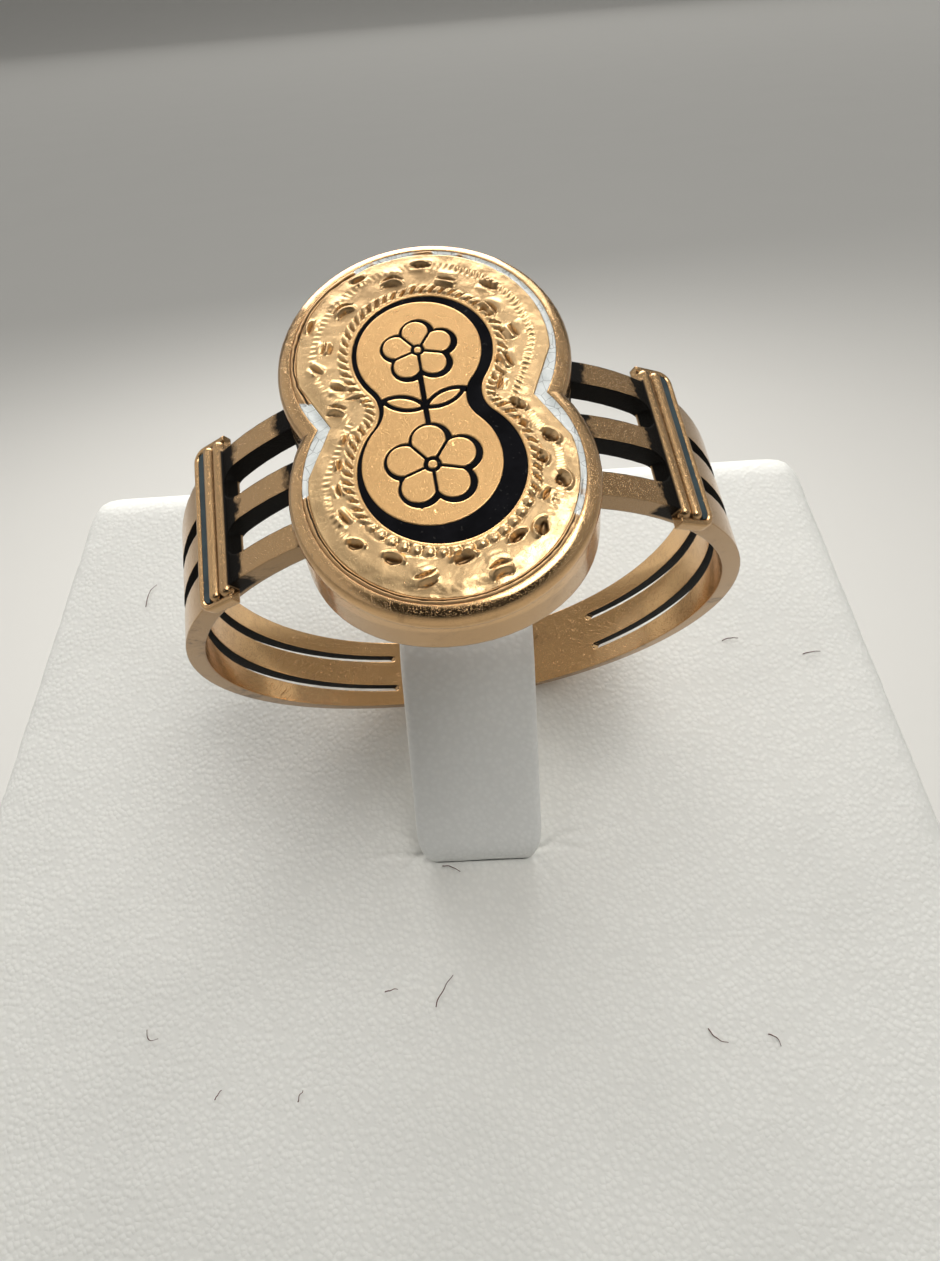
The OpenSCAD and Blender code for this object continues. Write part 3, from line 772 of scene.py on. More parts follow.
def wear(piece, material):
    """Gives every slot of a piece the one material."""
    if not piece.data.materials:
        piece.data.materials.append(material)
    for i in range(len(piece.data.materials)):
        piece.data.materials[i] = material


def soiled_and_shaded_group():
    """Where dirt has gathered beside the crossbars and at the bars' roots, and the slots' walls, which are
    painted near black, partly dirt and partly painted shade.
    """
    n, inp, out = new_group("gathered_dirt", (("Place", "Vector", None), *(
        (name, "Float", 0.0) for name in ("Angle", "Radius", "Along", "Along facing", "Height"))),
        (("Mask", "Float", None),))
    radius, angle = inp.outputs["Radius"], inp.outputs["Angle"]
    along = n.math("ABSOLUTE", inp.outputs["Along"])
    ragged = n.math("SUBTRACT", n.noise(inp.outputs["Place"], 3.2, 5.0, 0.7), 0.5)
    ragged = n.math("ADD", angle, n.times(ragged, 5.0))
    first, full, still, last = CROSSBAR_DIRT
    beside = n.times(n.step(ragged, first, full), n.step(angle, last, still), n.step(radius, *HOOP_SKIN),
                     n.step(radius, *reversed(BAR_SKIN)), n.step(along, *reversed(BAR_HALF)))
    near_head = n.math("SUBTRACT", ragged, n.times(inp.outputs["Along"], 0.8))
    root = n.times(n.step(near_head, *reversed(ROOT_DIRT)), n.step(radius, *ROOT_SKIN),
                   n.step(radius, *reversed(ROOT_TOP)), n.step(along, *reversed(ROOT_HALF)))
    edge = n.add("ShaderNodeMapRange", {
        "Value": inp.outputs["Height"], "From Min": WALL_LOW[0], "From Max": WALL_HIGH[0],
        "To Min": WALL_LOW[1], "To Max": WALL_HIGH[1]}).outputs["Result"]
    # Painted shade, partly dirt: the walls inside the slots that face along the finger go near black
    walls = n.times(n.step(inp.outputs["Along facing"], 0.7, 0.9), n.math("LESS_THAN", along, edge),
                    n.math("LESS_THAN", radius, WALL_R))
    n.join(n.math("MAXIMUM", n.math("MAXIMUM", beside, walls), root, clamp=True), out.inputs["Mask"])


def gold_material(look):
    """Rose gold: dulled in clouds, scratched, black with dirt beside the crossbars, near black with dirt and
    painted shade on the slots' walls and in the deepest hollows, and a brown that is partly patina and partly
    painted shade on the walls that face along the finger.
    """
    material, n, shader = new_material("rose_gold")
    found = group_node(n, "ring_place").outputs
    place = found["Place"]
    scratches = group_node(n, "fine_scratches", {"Place": place, "Size": 1.3}).outputs
    hairs = group_node(n, "fine_scratches", {"Place": place, "Size": 2.3}).outputs["Mask"]
    dull = group_node(n, "tarnish", {"Place": place, "Size": 0.9, "Share": 0.5}).outputs["Mask"]
    soiled_and_shaded_mask = group_node(n, "gathered_dirt", {key: found[key] for key in (
        "Place", "Angle", "Radius", "Along", "Along facing", "Height")}).outputs["Mask"]
    # Painted shade, partly dirt: ambient occlusion takes the deepest hollows to the near-black colour and
    # dulls the wider hollows
    hollow = n.add("ShaderNodeAmbientOcclusion", {"Distance": 0.00022}, samples=6, only_local=True)
    hollow = hollow.outputs["AO"]
    dirt_and_shade = n.math("MAXIMUM", soiled_and_shaded_mask, n.times(n.step(hollow, 0.5, 0.2), 0.9))
    tarnish_and_shade = n.math("MAXIMUM", n.times(dull, 0.7), n.step(hollow, 0.75, 0.35))
    base = n.mix(n.times(tarnish_and_shade, 0.8), look.gold, look.dull)
    bars = n.times(n.step(found["Angle"], *reversed(DULL_BARS)),
                   n.step(found["Radius"], *reversed(DULL_BAR_TOP)))
    base = n.mix(n.times(bars, 0.38), base, look.dull)
    base = n.mix(n.times(scratches["Mask"], 0.25), base, (0.9, 0.62, 0.38))
    # Partly patina and partly painted shade: the bars' walls that face along the finger are darkened to brown
    side_patina_and_shade = n.times(n.step(found["Along facing"], 0.7, 0.9),
                    n.math("LESS_THAN", n.math("ABSOLUTE", found["Along"]), BARS_HALF),
                    n.math("ADD", 0.45, n.times(dull, 0.5)))
    base = n.mix(side_patina_and_shade, base, (0.1, 0.065, 0.038))
    base = n.mix(n.times(hairs, 0.4), base, (0.12, 0.075, 0.04))
    # Dirt and painted shade both go to the near-black colour here
    n.join(n.mix(dirt_and_shade, base, look.dirt_and_shade), shader.inputs["Base Color"])
    n.join(n.math("SUBTRACT", 1.0, n.times(dirt_and_shade, 0.96)), shader.inputs["Metallic"])
    shader.inputs["Specular IOR Level"].default_value = 0.06
    rough = n.math("ADD", 0.15, n.times(dull, 0.14))
    rough = n.math("ADD", rough, n.times(scratches["Mask"], 0.1))
    n.join(n.math("ADD", rough, n.times(dirt_and_shade, 0.35)), shader.inputs["Roughness"])
    crumbs = n.times(n.noise(place, 14.0, 4.0, 0.7), dirt_and_shade, 4.0)
    waves = n.times(n.noise(place, 1.1, 3.0), 2.2)
    height = n.math("ADD", n.math("ADD", scratches["Height"], crumbs), waves)
    worn = n.add("ShaderNodeBevel", {"Radius": 0.00007}, samples=6).outputs[0]
    n.bump(height, 1.0, look.scratch, shader, Normal=worn)
    return material


def face_material(look, gold):
    """The engraved face: satin gold with fine scratches, painted shade in the cuts and on the plate's sides,
    and painted shade on the band towards its far end.
    """
    material, n, shader = new_material("engraved_gold")
    found = group_node(n, "ring_place").outputs
    place = found["Place"]
    scratches = group_node(n, "fine_scratches", {"Place": place, "Size": 2.0}).outputs
    dull = group_node(n, "tarnish", {"Place": place, "Size": 0.8, "Share": 0.35}).outputs["Mask"]
    cut_shade = n.add("ShaderNodeAttribute", attribute_name="cut_depth").outputs["Fac"]
    band = n.add("ShaderNodeAttribute", attribute_name="band").outputs["Fac"]
    base = n.mix(n.times(dull, 0.4), n.mix(band, look.gold, look.band), gold.dull)
    # Painted shade: the band dulls towards its far end
    base = n.mix(n.times(n.step(found["Along"], 1.8, 4.4), 0.6, band), base, gold.dull)
    # Painted shade: the cuts darken with their depth, and the plate's sides take a fixed share of it
    base = n.mix(n.times(cut_shade, 0.85), base, (0.1, 0.05, 0.02))
    n.join(n.mix(n.times(scratches["Mask"], 0.25), base, (0.4, 0.24, 0.14)), shader.inputs["Base Color"])
    shader.inputs["Metallic"].default_value = 1.0
    rough = n.math("ADD", 0.24, n.times(n.noise(place, 5.0, 3.0), 0.12))
    n.join(n.math("SUBTRACT", rough, n.times(scratches["Mask"], 0.06)), shader.inputs["Roughness"])
    grain = n.times(n.noise(place, 26.0, 4.0, 0.7), 0.8)
    n.bump(n.math("ADD", scratches["Height"], grain), 0.9, gold.scratch, shader)
    return material


def enamel_material(name, colour, size, tint, rough=0.12, shine=0.2):
    """Glassy enamel with faint clouds, a few pits and soft waves."""
    material, n, shader = new_material(name)
    place = group_node(n, "ring_place").outputs["Place"]
    clouds = n.noise(place, size, 4.0, 0.6)
    pits = n.step(n.noise(place, 9.0, 2.0), 0.66, 0.76)
    base = n.mix(n.step(clouds, 0.35, 0.7), colour, tint)
    n.join(n.mix(n.times(pits, 0.35), base, (0.05, 0.045, 0.04)), shader.inputs["Base Color"])
    n.join(n.math("ADD", rough, n.times(pits, 0.3)), shader.inputs["Roughness"])
    shader.inputs["Specular IOR Level"].default_value = shine
    height = n.math("SUBTRACT", n.times(n.noise(place, 1.6, 2.0), 3.0), pits)
    n.bump(height, 0.8, 0.000004, shader)
    return material


def worn_enamel_material(look, gold):
    """The pale line: greyed in clouds, cracked, and worn down to gold and a dark crack in places."""
    material, n, shader = new_material("pale_enamel")
    place = group_node(n, "ring_place").outputs["Place"]
    gone = n.add("ShaderNodeAttribute", attribute_name="worn").outputs["Fac"]
    crack = n.add("ShaderNodeAttribute", attribute_name="crack").outputs["Fac"]
    grey = n.step(n.noise(place, 1.7, 4.0, 0.65), 0.4, 0.68)
    cells = n.add("ShaderNodeTexVoronoi", {"Vector": place, "Scale": 3.2}, feature="DISTANCE_TO_EDGE")
    lines = n.step(cells.outputs["Distance"], 0.03, 0.0)
    bare = n.step(n.math("ADD", gone, n.times(n.noise(place, 6.0, 3.0), 0.5)), 0.55, 0.85)
    base = n.mix(n.times(grey, 0.35), look.pale, (0.38, 0.43, 0.44))
    base = n.mix(n.times(lines, 0.6), base, (0.1, 0.1, 0.1))
    base = n.mix(bare, base, tuple(0.85 * c for c in gold.gold))
    n.join(n.mix(crack, base, gold.dirt_and_shade), shader.inputs["Base Color"])
    n.join(n.times(gone, n.math("SUBTRACT", 0.9, crack, clamp=True)), shader.inputs["Metallic"])
    n.join(n.math("ADD", 0.2, n.times(gone, 0.25)), shader.inputs["Roughness"])
    height = n.math("SUBTRACT", n.times(n.noise(place, 7.0, 4.0, 0.7), 2.5), lines)
    n.bump(height, 0.8, 0.000006, shader)
    return material


def leather_material(name, colour, size):
    """Pebbled leatherette, with painted shade in the valleys between its pebbles."""
    material, n, shader = new_material(name)
    grain = group_node(n, "leather_grain", {"Size": size}).outputs
    shade, cloud = [tuple(c * darker for c in colour) for darker in (0.86, 0.95)]
    base = n.mix(n.step(grain["Clouds"], 0.35, 0.7), colour, cloud)
    # Painted shade: the valleys between the pebbles are darkened
    n.join(n.mix(n.times(grain["Valleys"], 0.4), base, shade), shader.inputs["Base Color"])
    n.join(n.math("ADD", 0.5, n.times(grain["Valleys"], 0.2)), shader.inputs["Roughness"])
    shader.inputs["Specular IOR Level"].default_value = 0.35
    n.bump(grain["Height"], 0.8, 0.00003, shader)
    return material


class RING_OT_groups(bpy.types.Operator):
    """Builds the shader node groups that the materials share"""
    bl_idname = "ring.groups"
    bl_label = "Shared effects"

    def execute(self, context):
        ring_place_group()
        scratches_group()
        tarnish_group()
        soiled_and_shaded_group()
        leather_group()
        return {"FINISHED"}


class RING_OT_metal(bpy.types.Operator):
    """Gives the hoop, shoulders, crossbars and rim their worn rose gold"""
    bl_idname = "ring.metal"
    bl_label = "Ring metal"

    def execute(self, context):
        wear(NODES["ring_metal"], gold_material(context.scene.ring_gold))
        smooth = NODES["ring_metal"].modifiers.new("smooth_curves", "NODES")
        smooth.node_group = smooth_curves()
        return {"FINISHED"}


class RING_OT_face(bpy.types.Operator):
    """Engraves the face plate: cuts, ticks and beads round the polished field"""
    bl_idname = "ring.face"
    bl_label = "Engraved face"

    def execute(self, context):
        look = context.scene.ring_face
        step, depth, tick, seam = look.step / MM, look.cut_depth / MM, look.tick_depth / MM, 0.002
        x, y, (h, marks), tris = face_mesh(step, lambda a, b: face_height(a, b, depth, tick))
        if len(tris) < FEWEST_FACES:
            raise RuntimeError("the engraved face came out with too few faces")
        top = np.stack([x, y, PLATE_TOP + h], 1)
        rim = open_edges(tris)
        loop, back = np.unique(rim, return_inverse=True)
        back = back.reshape(-1, 2) + len(top)
        low = top[loop] * [1, 1, 0] + [0, 0, POCKET]
        walls = np.concatenate([np.stack([rim[:, 1], rim[:, 0], back[:, 0]], 1),
                                np.stack([rim[:, 1], back[:, 0], back[:, 1]], 1)])
        points, faces = np.concatenate([top, low]), np.concatenate([tris, walls]).tolist()
        outline, _ = outline_points(plate, 480)
        count, base = len(outline), len(points)
        slab = [np.column_stack([outline, np.full(count, z)]) for z in (PLATE_LOW, POCKET + seam)]
        points = np.concatenate([points, *slab])
        for i in range(count):
            j = (i + 1) % count
            faces.append([base + i, base + j, base + count + j, base + count + i])
        faces += [[base + i for i in reversed(range(count))], [base + count + i for i in range(count)]]
        piece = new_piece("engraved_face", points, faces, ("face_plaque",), ring_matrix())
        # Painted shade: a share by cut depth on the top, a fixed share on the sides and the slab
        cut_shade, band = np.full(len(points), 0.6), np.zeros(len(points))
        cut_shade[:len(h)] = ramp(-marks, 0.02, 0.02 + 0.45 * depth)
        band[:len(h)] = ramp(black_ring(x, y), 0, 0.15)
        add_attributes(piece, cut_depth=cut_shade, band=band)
        wear(piece, face_material(look, context.scene.ring_gold))
        return {"FINISHED"}


class RING_OT_enamel(bpy.types.Operator):
    """Lays the pale enamel line, worn away in places, and colours the black and the blue enamel"""
    bl_idname = "ring.enamel"
    bl_label = "Enamels"

    def execute(self, context):
        look = context.scene.ring_enamel
        self.pale_line(context)
        black = enamel_material("black_enamel", look.black, 1.2, (0.007, 0.007, 0.009), 0.12, 0.06)
        blue = enamel_material("blue_enamel", look.blue, 1.5, (0.035, 0.052, 0.06), 0.22)
        wear(NODES["figure_enamel"], black)
        wear(NODES["crossbar_enamel_left"], blue)
        wear(NODES["crossbar_enamel_right"], blue)
        return {"FINISHED"}

    def line_edges(self, a):
        """Inner and outer radius of the pale line at each angle round the head."""
        c, s = np.abs(np.cos(a)), np.abs(np.sin(a))

        def lobe(r):
            return LOBE_OFF * s + np.sqrt(r * r - (LOBE_OFF * c) ** 2)

        across, least, nowhere, thinnest = c - NOTCH_SLOPE * s, 0.05, 99, 0.02
        waist = WAIST + FIT * math.hypot(1, NOTCH_SLOPE)
        notch = np.where(across > least, waist / np.maximum(across, least), nowhere)
        inner = np.minimum(lobe(PLATE_R + FIT), notch)
        return inner, np.maximum(lobe(RIM_IN_R - FIT), inner + thinnest)

    def pale_line(self, context):
        """Builds the pale line: dished where it is whole, and a cracked ridge of gold where it has gone."""
        count, rows = 1300, 17
        a = np.linspace(0, math.tau, count, endpoint=False)
        c, s = np.cos(a), np.sin(a)
        inner, outer = self.line_edges(a)
        worn = np.zeros(count)
        for centre, half, amount in WORN:
            away = np.abs((np.degrees(a) % 360 - centre + 180) % 360 - 180)
            worn = np.maximum(worn, amount * (1 - ramp(away, half - WORN_SOFT, half)))
        rough, fine = rolling(2.4 * c, 3.6 * s, 0.9, 31, 3), rolling(2.4 * c, 3.6 * s, 0.25, 33, 2)
        worn = ramp(worn + 0.3 * rough, 0.35, 0.75)
        points, cracks = [], []
        for t in np.linspace(0, 1, rows):
            r, bulge = inner + (outer - inner) * t, math.sin(math.pi * t)
            crack = worn * mound(t, 0.34 + 0.16 * rough + 0.05 * fine, 0.11 + 0.04 * fine)
            level = worn * (GOLD_RIDGE * bulge + 0.01) - (1 - worn) * DISH * bulge
            top = ENAMEL_TOP + level - CRACK_DEPTH * crack + 0.003 * fine
            points.append(np.stack([r * c, r * s, top], 1))
            cracks.append(np.clip(1.5 * crack - 0.15, 0, 1))
        for r in (outer, inner):
            points.append(np.stack([r * c, r * s, np.full(count, ENAMEL_LOW)], 1))
            cracks.append(worn * 0)
        faces = band_faces(len(points), count, closed=True)
        piece = new_piece("pale_enamel_line", np.concatenate(points), faces,
                          ("border_enamel",), ring_matrix())
        add_attributes(piece, worn=np.tile(worn, len(points)), crack=np.concatenate(cracks))
        wear(piece, worn_enamel_material(context.scene.ring_enamel, context.scene.ring_gold))


def tongue_stations():
    """Points and directions along the tongue's middle line, in the face's frame: up the slope, out of it."""
    t = TONGUE
    rise, fall, upright = math.radians(t["rise"]), math.radians(t["fall"]), math.pi / 2

    def towards(a):
        return np.array([math.cos(a), math.sin(a)])

    line = [np.array([t["root"], z]) for z in np.linspace(-t["depth"], 0, 7)[:-1]]
    bend = np.array([t["root"] + t["root_bend"], 0.0])
    line += [bend + t["root_bend"] * towards(a) for a in np.linspace(math.pi, upright + rise, 9)]
    start = line[-1]
    line += [start + towards(rise) * d for d in np.linspace(0, t["run"], 20)[1:]]
    crown = line[-1] + t["top_bend"] * towards(rise - upright)
    line += [crown + t["top_bend"] * towards(a) for a in np.linspace(upright + rise, upright + fall, 28)[1:]]
    end = line[-1]
    line += [end + towards(fall) * d for d in np.linspace(0, t["tip"], 12)[1:]]
    line = np.array(line)
    ways = np.gradient(line, axis=0)
    return line, ways / np.linalg.norm(ways, axis=1)[:, None]


def tongue_section():
    """The tongue's rounded section, with points between the corners on its broad sides."""
    wide, thick, soft = TONGUE_HALF_W - TONGUE_SOFT, TONGUE_HALF_T - TONGUE_SOFT, TONGUE_SOFT
    corners = []
    for cx, cy, start in ((wide, thick, 0), (-wide, thick, 90), (-wide, -thick, 180), (wide, -thick, 270)):
        corners.append([(cx + soft * math.cos(math.radians(a)), cy + soft * math.sin(math.radians(a)))
                        for a in np.linspace(start, start + 90, 6)])
    between = np.linspace(wide, -wide, 14)[1:-1]
    outside = [(x, TONGUE_HALF_T) for x in between]
    inside = [(x, -TONGUE_HALF_T) for x in np.linspace(-wide, wide, 14)[1:-1]]
    return corners[0] + outside + corners[1] + corners[2] + inside + corners[3]


class RING_OT_tongue(bpy.types.Operator):
    """Wraps the stand's tongue in leatherette with soft edges and a rounded tip"""
    bl_idname = "ring.tongue"
    bl_label = "Tongue"

    def execute(self, context):
        look = context.scene.ring_stand
        line, ways = tongue_stations()
        section, total, points = tongue_section(), len(line), []
        steps = np.linalg.norm(np.diff(line, axis=0), axis=1)
        risen = np.concatenate([[0], np.cumsum(steps)]) - TONGUE["depth"]
        for i, (p, w) in enumerate(zip(line, ways)):
            out = np.array([-w[1], w[0]])
            tip = max(0.0, 1 - (total - 1 - i) / 4) ** 2
            root = min(1.0, max(0.0, 1 - risen[i] / ROOT_RISE)) ** 2
            for u, v in section:
                dent = 0.03 * soft_noise(Vector((u * 0.5, p[0] * 0.6, 3.1)))
                q = p + out * (v * (1 - TIP_THIN * tip) + (dent - 0.02 if v > 0 else 0))
                points.append((u * (1 - TIP_NARROW * tip - ROOT_NARROW * root), q[0], q[1]))
        faces = band_faces(total, len(section), flipped=True)
        faces += [tuple(range(len(section)))[::-1], tuple(range(len(points) - len(section), len(points)))]
        piece = new_piece("tongue_wrap", points, faces, ("stand_tongue",),
                          face_matrix())
        bm = bmesh.new()
        bm.from_mesh(piece.data)
        bmesh.ops.recalc_face_normals(bm, faces=bm.faces)
        bm.to_mesh(piece.data)
        bm.free()
        wear(piece, leather_material("tongue_leatherette", look.tongue, 1 / look.pebble))
        return {"FINISHED"}


def hull_skin(node, voxel):
    """The convex outer skin of a CAD node, remeshed evenly and smoothed."""
    bm = bmesh.new()
    bm.from_mesh(NODES[node].data)
    made = bmesh.ops.convex_hull(bm, input=bm.verts)
    bmesh.ops.delete(bm, geom=made["geom_interior"] + made["geom_unused"], context="VERTS")
    mesh = bpy.data.meshes.new("leatherette_cover")
    bm.to_mesh(mesh)
    bm.free()
    skin = bpy.data.objects.new("leatherette_cover", mesh)
    bpy.context.scene.collection.objects.link(skin)
    remesh = skin.modifiers.new("skin", "REMESH")
    remesh.mode, remesh.voxel_size = "VOXEL", voxel
    smooth = skin.modifiers.new("smooth", "SMOOTH")
    smooth.factor, smooth.iterations = 0.5, 5
    bpy.context.view_layer.update()
    skin.data = bpy.data.meshes.new_from_object(skin.evaluated_get(bpy.context.evaluated_depsgraph_get()))
    skin.modifiers.clear()
    return skin


def vertex_places(mesh):
    co = np.empty(len(mesh.vertices) * 3)
    mesh.vertices.foreach_get("co", co)
    return co.reshape(-1, 3)


class RING_OT_block(bpy.types.Operator):
    """Covers the stand's block with soft-edged leatherette, puckered round the tongue's slot"""
    bl_idname = "ring.block"
    bl_label = "Stand block"

    def execute(self, context):
        look = context.scene.ring_stand
        piece = hull_skin("stand_block", COVER_VOXEL * MM)
        to_face = face_matrix().inverted()
        bm = bmesh.new()
        bm.from_mesh(piece.data)
        for reach in FINER:
            bmesh.ops.triangulate(bm, faces=[f for f in bm.faces if len(f.verts) > 3])
            near = [e for e in bm.edges if self.close(to_face @ e.verts[0].co, reach)
                    and self.close(to_face @ e.verts[1].co, reach)]
            bmesh.ops.subdivide_edges(bm, edges=near, cuts=1, use_grid_fill=True)
        bmesh.ops.triangulate(bm, faces=[f for f in bm.faces if len(f.verts) > 3])
        for vert in bm.verts:
            p = to_face @ vert.co
            if self.close(p, FINER[0]):
                p.z -= self.pucker(p.x, p.y)
                vert.co = face_matrix() @ p
        self.cut_slot(bm, to_face)
        bm.to_mesh(piece.data)
        bm.free()
        co = vertex_places(piece.data)
        low, high = (np.array(v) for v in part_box("stand_block"))
        face = np.array(to_face)
        local = co @ face[:3, :3].T + face[:3, 3]
        sag = SAG * (1 + rolling(local[:, 0], local[:, 1], *SAG_WAVE)) * ramp(local[:, 2], -0.8, -0.2)
        up = np.array(face_matrix().to_3x3() @ Vector((0, 0, 1))) / MM
        co = np.clip(co - (sag * MM)[:, None] * up, low, high)
        piece.data.vertices.foreach_set("co", co.ravel())
        piece.data.polygons.foreach_set("use_smooth", [True] * len(piece.data.polygons))
        piece.data.update()
        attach(piece, "root")
        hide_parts("stand_block")
        wear(piece, leather_material("leatherette", look.cover, 1 / look.pebble))
        return {"FINISHED"}

    @staticmethod
    def slot_distance(x, y):
        """Distance from the slot that the tongue comes out of, below zero inside it."""
        u, v = abs(x) - SLOT[0] + SLOT_ROUND, abs(y - TONGUE["root"]) - SLOT[1] + SLOT_ROUND
        return math.hypot(max(u, 0), max(v, 0)) + min(max(u, v), 0) - SLOT_ROUND

    def close(self, p, reach):
        """Whether a point of the cover lies on the slanted face and within reach of the slot."""
        return abs(p.z) < 1.0 and self.slot_distance(p.x, p.y) < reach

    def pucker(self, x, y):
        """How far the cover is drawn in round the slot, with creases that run out from its ends."""
        d = max(self.slot_distance(x, y), 0)
        dip = sum(depth * math.exp(-(d / reach) ** 2) for depth, reach in DIPS)
        sway, pace = CREASE_SWAY
        for end, turns in CREASES:
            dx, dy = x - end * SLOT[0], y - TONGUE["root"]
            reach, way = math.hypot(dx, dy), math.degrees(math.atan2(dy, dx))
            for turn, depth, length in turns:
                off = (way - turn + 180) % 360 - 180
                across = reach * math.sin(math.radians(off)) + sway * math.sin(reach * pace + turn)
                if abs(off) < 90:
                    dip += depth * math.exp(-(across / CREASE_HALF) ** 2) * math.exp(-(reach / length) ** 2)
        return dip

    def cut_slot(self, bm, to_face):
        """Opens the slot: near vertices move onto its edge, those inside go, the edge is turned down."""
        gone, e, near, snap, away = [], 0.001, 0.3, 0.025, self.slot_distance
        for vert in bm.verts:
            p = to_face @ vert.co
            if abs(p.z) > 1.0 or abs(p.x) > SLOT[0] + near or abs(p.y - TONGUE["root"]) > SLOT[1] + near:
                continue
            d = away(p.x, p.y)
            if d < -snap:
                gone.append(vert)
            elif d < snap:
                slope = Vector((away(p.x + e, p.y) - away(p.x - e, p.y),
                                away(p.x, p.y + e) - away(p.x, p.y - e), 0)) / (2 * e)
                vert.co = face_matrix() @ (p - slope * d)
        bmesh.ops.delete(bm, geom=gone, context="VERTS")
        rim = [edge for edge in bm.edges if edge.is_boundary]
        down = Vector(face_matrix().to_3x3() @ Vector((0, 0, -SLOT_WALL)))
        made = bmesh.ops.extrude_edge_only(bm, edges=rim)
        new = [g for g in made["geom"] if isinstance(g, bmesh.types.BMVert)]
        bmesh.ops.translate(bm, verts=new, vec=down)
        bmesh.ops.holes_fill(bm, edges=[edge for edge in bm.edges if edge.is_boundary])
        bmesh.ops.recalc_face_normals(bm, faces=bm.faces)


class RING_OT_fibres(bpy.types.Operator):
    """Scatters the few stray fibres that lie on the cover"""
    bl_idname = "ring.fibres"
    bl_label = "Stray fibres"

    def execute(self, context):
        points, faces = [], []
        for i, (x0, y0, x1, y1, bend) in enumerate(FIBRES):
            start, span, base = Vector((x0, y0, 0)), Vector((x1 - x0, y1 - y0, 0)), len(points)
            across = Vector((-span.y, span.x, 0)).normalized()
            for t in np.linspace(0, 1, FIBRE_STEPS + 1).tolist():
                middle = start + span * t + across * bend * math.sin(math.pi * t)
                middle += across * 0.06 * soft_noise(Vector((t * 3, i * 7.3, 0)))
                middle.z = 0.03 + 0.1 * t * (1 - t) * (1 + soft_noise(Vector((t * 2, i * 3.1, 5))))
                r = FIBRE_R * (1 - FIBRE_TAPER * t)
                for a in np.linspace(0, math.tau, FIBRE_SIDES, endpoint=False):
                    points.append(middle + across * r * math.cos(a) + Vector((0, 0, r * math.sin(a))))
            last = len(points) - FIBRE_SIDES
            faces += band_faces(FIBRE_STEPS + 1, FIBRE_SIDES, base, flipped=True)
            faces.append(tuple(base + j for j in reversed(range(FIBRE_SIDES))))
            faces.append(tuple(last + j for j in range(FIBRE_SIDES)))
        piece = new_piece("stray_fibres", points, faces, (), face_matrix())
        material, n, shader = new_material("fibre")
        where = n.add("ShaderNodeTexCoord").outputs["Object"]
        n.join(n.mix(n.noise(where, 900.0, 2.0), (0.14, 0.02, 0.015), (0.035, 0.01, 0.01)),
               shader.inputs["Base Color"])
        shader.inputs["Roughness"].default_value = 0.6
        wear(piece, material)
        return {"FINISHED"}


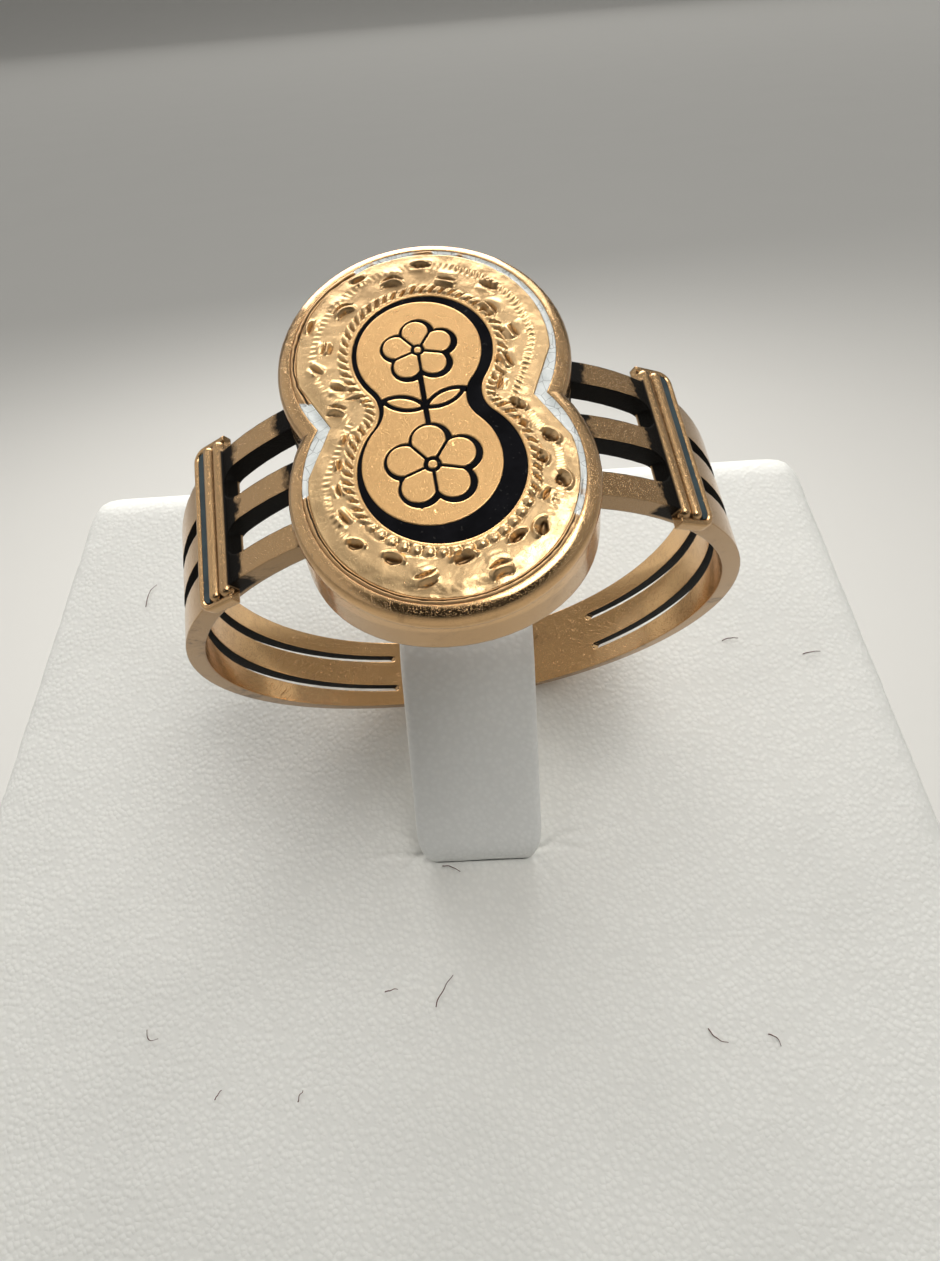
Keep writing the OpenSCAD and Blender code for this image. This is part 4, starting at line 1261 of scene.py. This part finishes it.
class RING_OT_stage(bpy.types.Operator):
    """Sets the plain floor, the soft lights and the camera at the photograph's angle"""
    bl_idname = "ring.stage"
    bl_label = "Stage"

    def execute(self, context):
        look = context.scene.ring_stage
        profile = [(-FLOOR_HALF, 0.0), (FLOOR_BACK, 0.0)]
        profile += [(FLOOR_BACK + SWEEP * math.sin(a), SWEEP * (1 - math.cos(a)))
                    for a in np.linspace(0.05, math.pi / 2, 24)]
        profile.append((FLOOR_BACK + SWEEP, WALL_TOP))
        count = len(profile)
        mesh = bpy.data.meshes.new("studio_floor")
        mesh.from_pydata([(x, y, z) for x in (-FLOOR_HALF, FLOOR_HALF) for y, z in profile], [], [
            (i, count + i, count + i + 1, i + 1) for i in range(count - 1)])
        mesh.polygons.foreach_set("use_smooth", [True] * len(mesh.polygons))
        material, n, shader = new_material("studio_floor")
        where = n.add("ShaderNodeTexCoord").outputs["Object"]
        n.join(n.mix(n.noise(where, 30.0, 3.0), look.floor, tuple(c * 0.97 for c in look.floor)),
               shader.inputs["Base Color"])
        shader.inputs["Roughness"].default_value = 0.8
        mesh.materials.append(material)
        floor = bpy.data.objects.new("studio_floor", mesh)
        context.scene.collection.objects.link(floor)
        for name, at, size, colour in LAMPS:
            data = bpy.data.lights.new(name, "AREA")
            data.size, data.energy, data.color = size, getattr(look, name), colour
            lamp = bpy.data.objects.new(name, data)
            lamp.location = at
            lamp.rotation_mode = "QUATERNION"
            lamp.rotation_quaternion = (Vector(LAMP_AIM) - Vector(at)).to_track_quat("-Z", "Y")
            context.scene.collection.objects.link(lamp)
        self.room(context)
        self.camera(context)
        context.scene.view_settings.view_transform = "Standard"
        return {"FINISHED"}

    def camera(self, context):
        """Sets the camera where the photograph was taken from."""
        data = bpy.data.cameras.new("camera")
        data.lens, data.sensor_width, data.sensor_fit = LENS, SENSOR, "AUTO"
        data.clip_start, data.clip_end = 0.001, 10.0
        camera = bpy.data.objects.new("camera", data)
        back, up = -Vector(CAMERA_AXIS).normalized(), Vector(CAMERA_UP).normalized()
        right = up.cross(back).normalized()
        turned = Matrix((right, back.cross(right), back)).transposed().to_4x4()
        camera.matrix_world = Matrix.Translation(Vector(CAMERA_AT) * MM) @ turned
        context.scene.collection.objects.link(camera)
        context.scene.camera = camera

    def room(self, context):
        """Lights the room: brighter overhead and to the left, and dark in one patch in front."""
        world = bpy.data.worlds.new("studio")
        world.use_nodes = True
        world.node_tree.nodes.clear()
        n = Nodes(world.node_tree)
        way = n.add("ShaderNodeTexCoord").outputs["Generated"]
        ceiling = n.times(n.step(n.dot(way, CEILING_WAY), 0.84, 0.97), CEILING)
        left = n.times(n.step(n.add("ShaderNodeSeparateXYZ", {0: way}).outputs[0], -0.3, -0.85), LEFT)
        dark = n.times(n.step(n.dot(way, DARK_WAY), 0.55, 0.85), DARK)
        light = n.math("ADD", ROOM, n.math("ADD", ceiling, left))
        light = n.times(light, n.math("SUBTRACT", 1.0, dark), context.scene.ring_stage.sky)
        shade = n.add("ShaderNodeBackground", {"Color": (1, 0.99, 0.965, 1), "Strength": light})
        n.join(shade.outputs[0], n.add("ShaderNodeOutputWorld").inputs[0])
        context.scene.world = world


OPERATORS = (RING_OT_groups, RING_OT_metal, RING_OT_face, RING_OT_enamel, RING_OT_tongue, RING_OT_block,
             RING_OT_fibres, RING_OT_stage)
LOOKS = (("ring_gold", RingGold), ("ring_face", FaceCutting), ("ring_enamel", EnamelLooks),
         ("ring_stand", StandLooks), ("ring_stage", StageLooks))


class RING_PT_panel(bpy.types.Panel):
    """Lists the sizes, colours and steps of the ring and its stand"""
    bl_idname = "RING_PT_panel"
    bl_label = "Enamel ring"
    bl_space_type = "VIEW_3D"
    bl_region_type = "UI"
    bl_category = "Ring"

    def draw(self, context):
        for name, group in LOOKS:
            box = self.layout.box()
            for key in group.__annotations__:
                box.prop(getattr(context.scene, name), key)
        for operator in OPERATORS:
            self.layout.operator(operator.bl_idname)


def register():
    for name, group in LOOKS:
        bpy.utils.register_class(group)
        setattr(bpy.types.Scene, name, bpy.props.PointerProperty(type=group))
    for operator in OPERATORS:
        bpy.utils.register_class(operator)
    bpy.utils.register_class(RING_PT_panel)


def unregister():
    bpy.utils.unregister_class(RING_PT_panel)
    for operator in reversed(OPERATORS):
        bpy.utils.unregister_class(operator)
    for name, group in reversed(LOOKS):
        delattr(bpy.types.Scene, name)
        bpy.utils.unregister_class(group)


def main():
    register()
    for operator in OPERATORS:
        step = getattr(bpy.ops.ring, operator.bl_idname.split(".")[1])
        if step() != {"FINISHED"}:
            raise RuntimeError("the step " + operator.bl_label + " didn't finish")
    bpy.context.view_layer.update()
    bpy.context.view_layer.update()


if __name__ == "__main__":
    main()
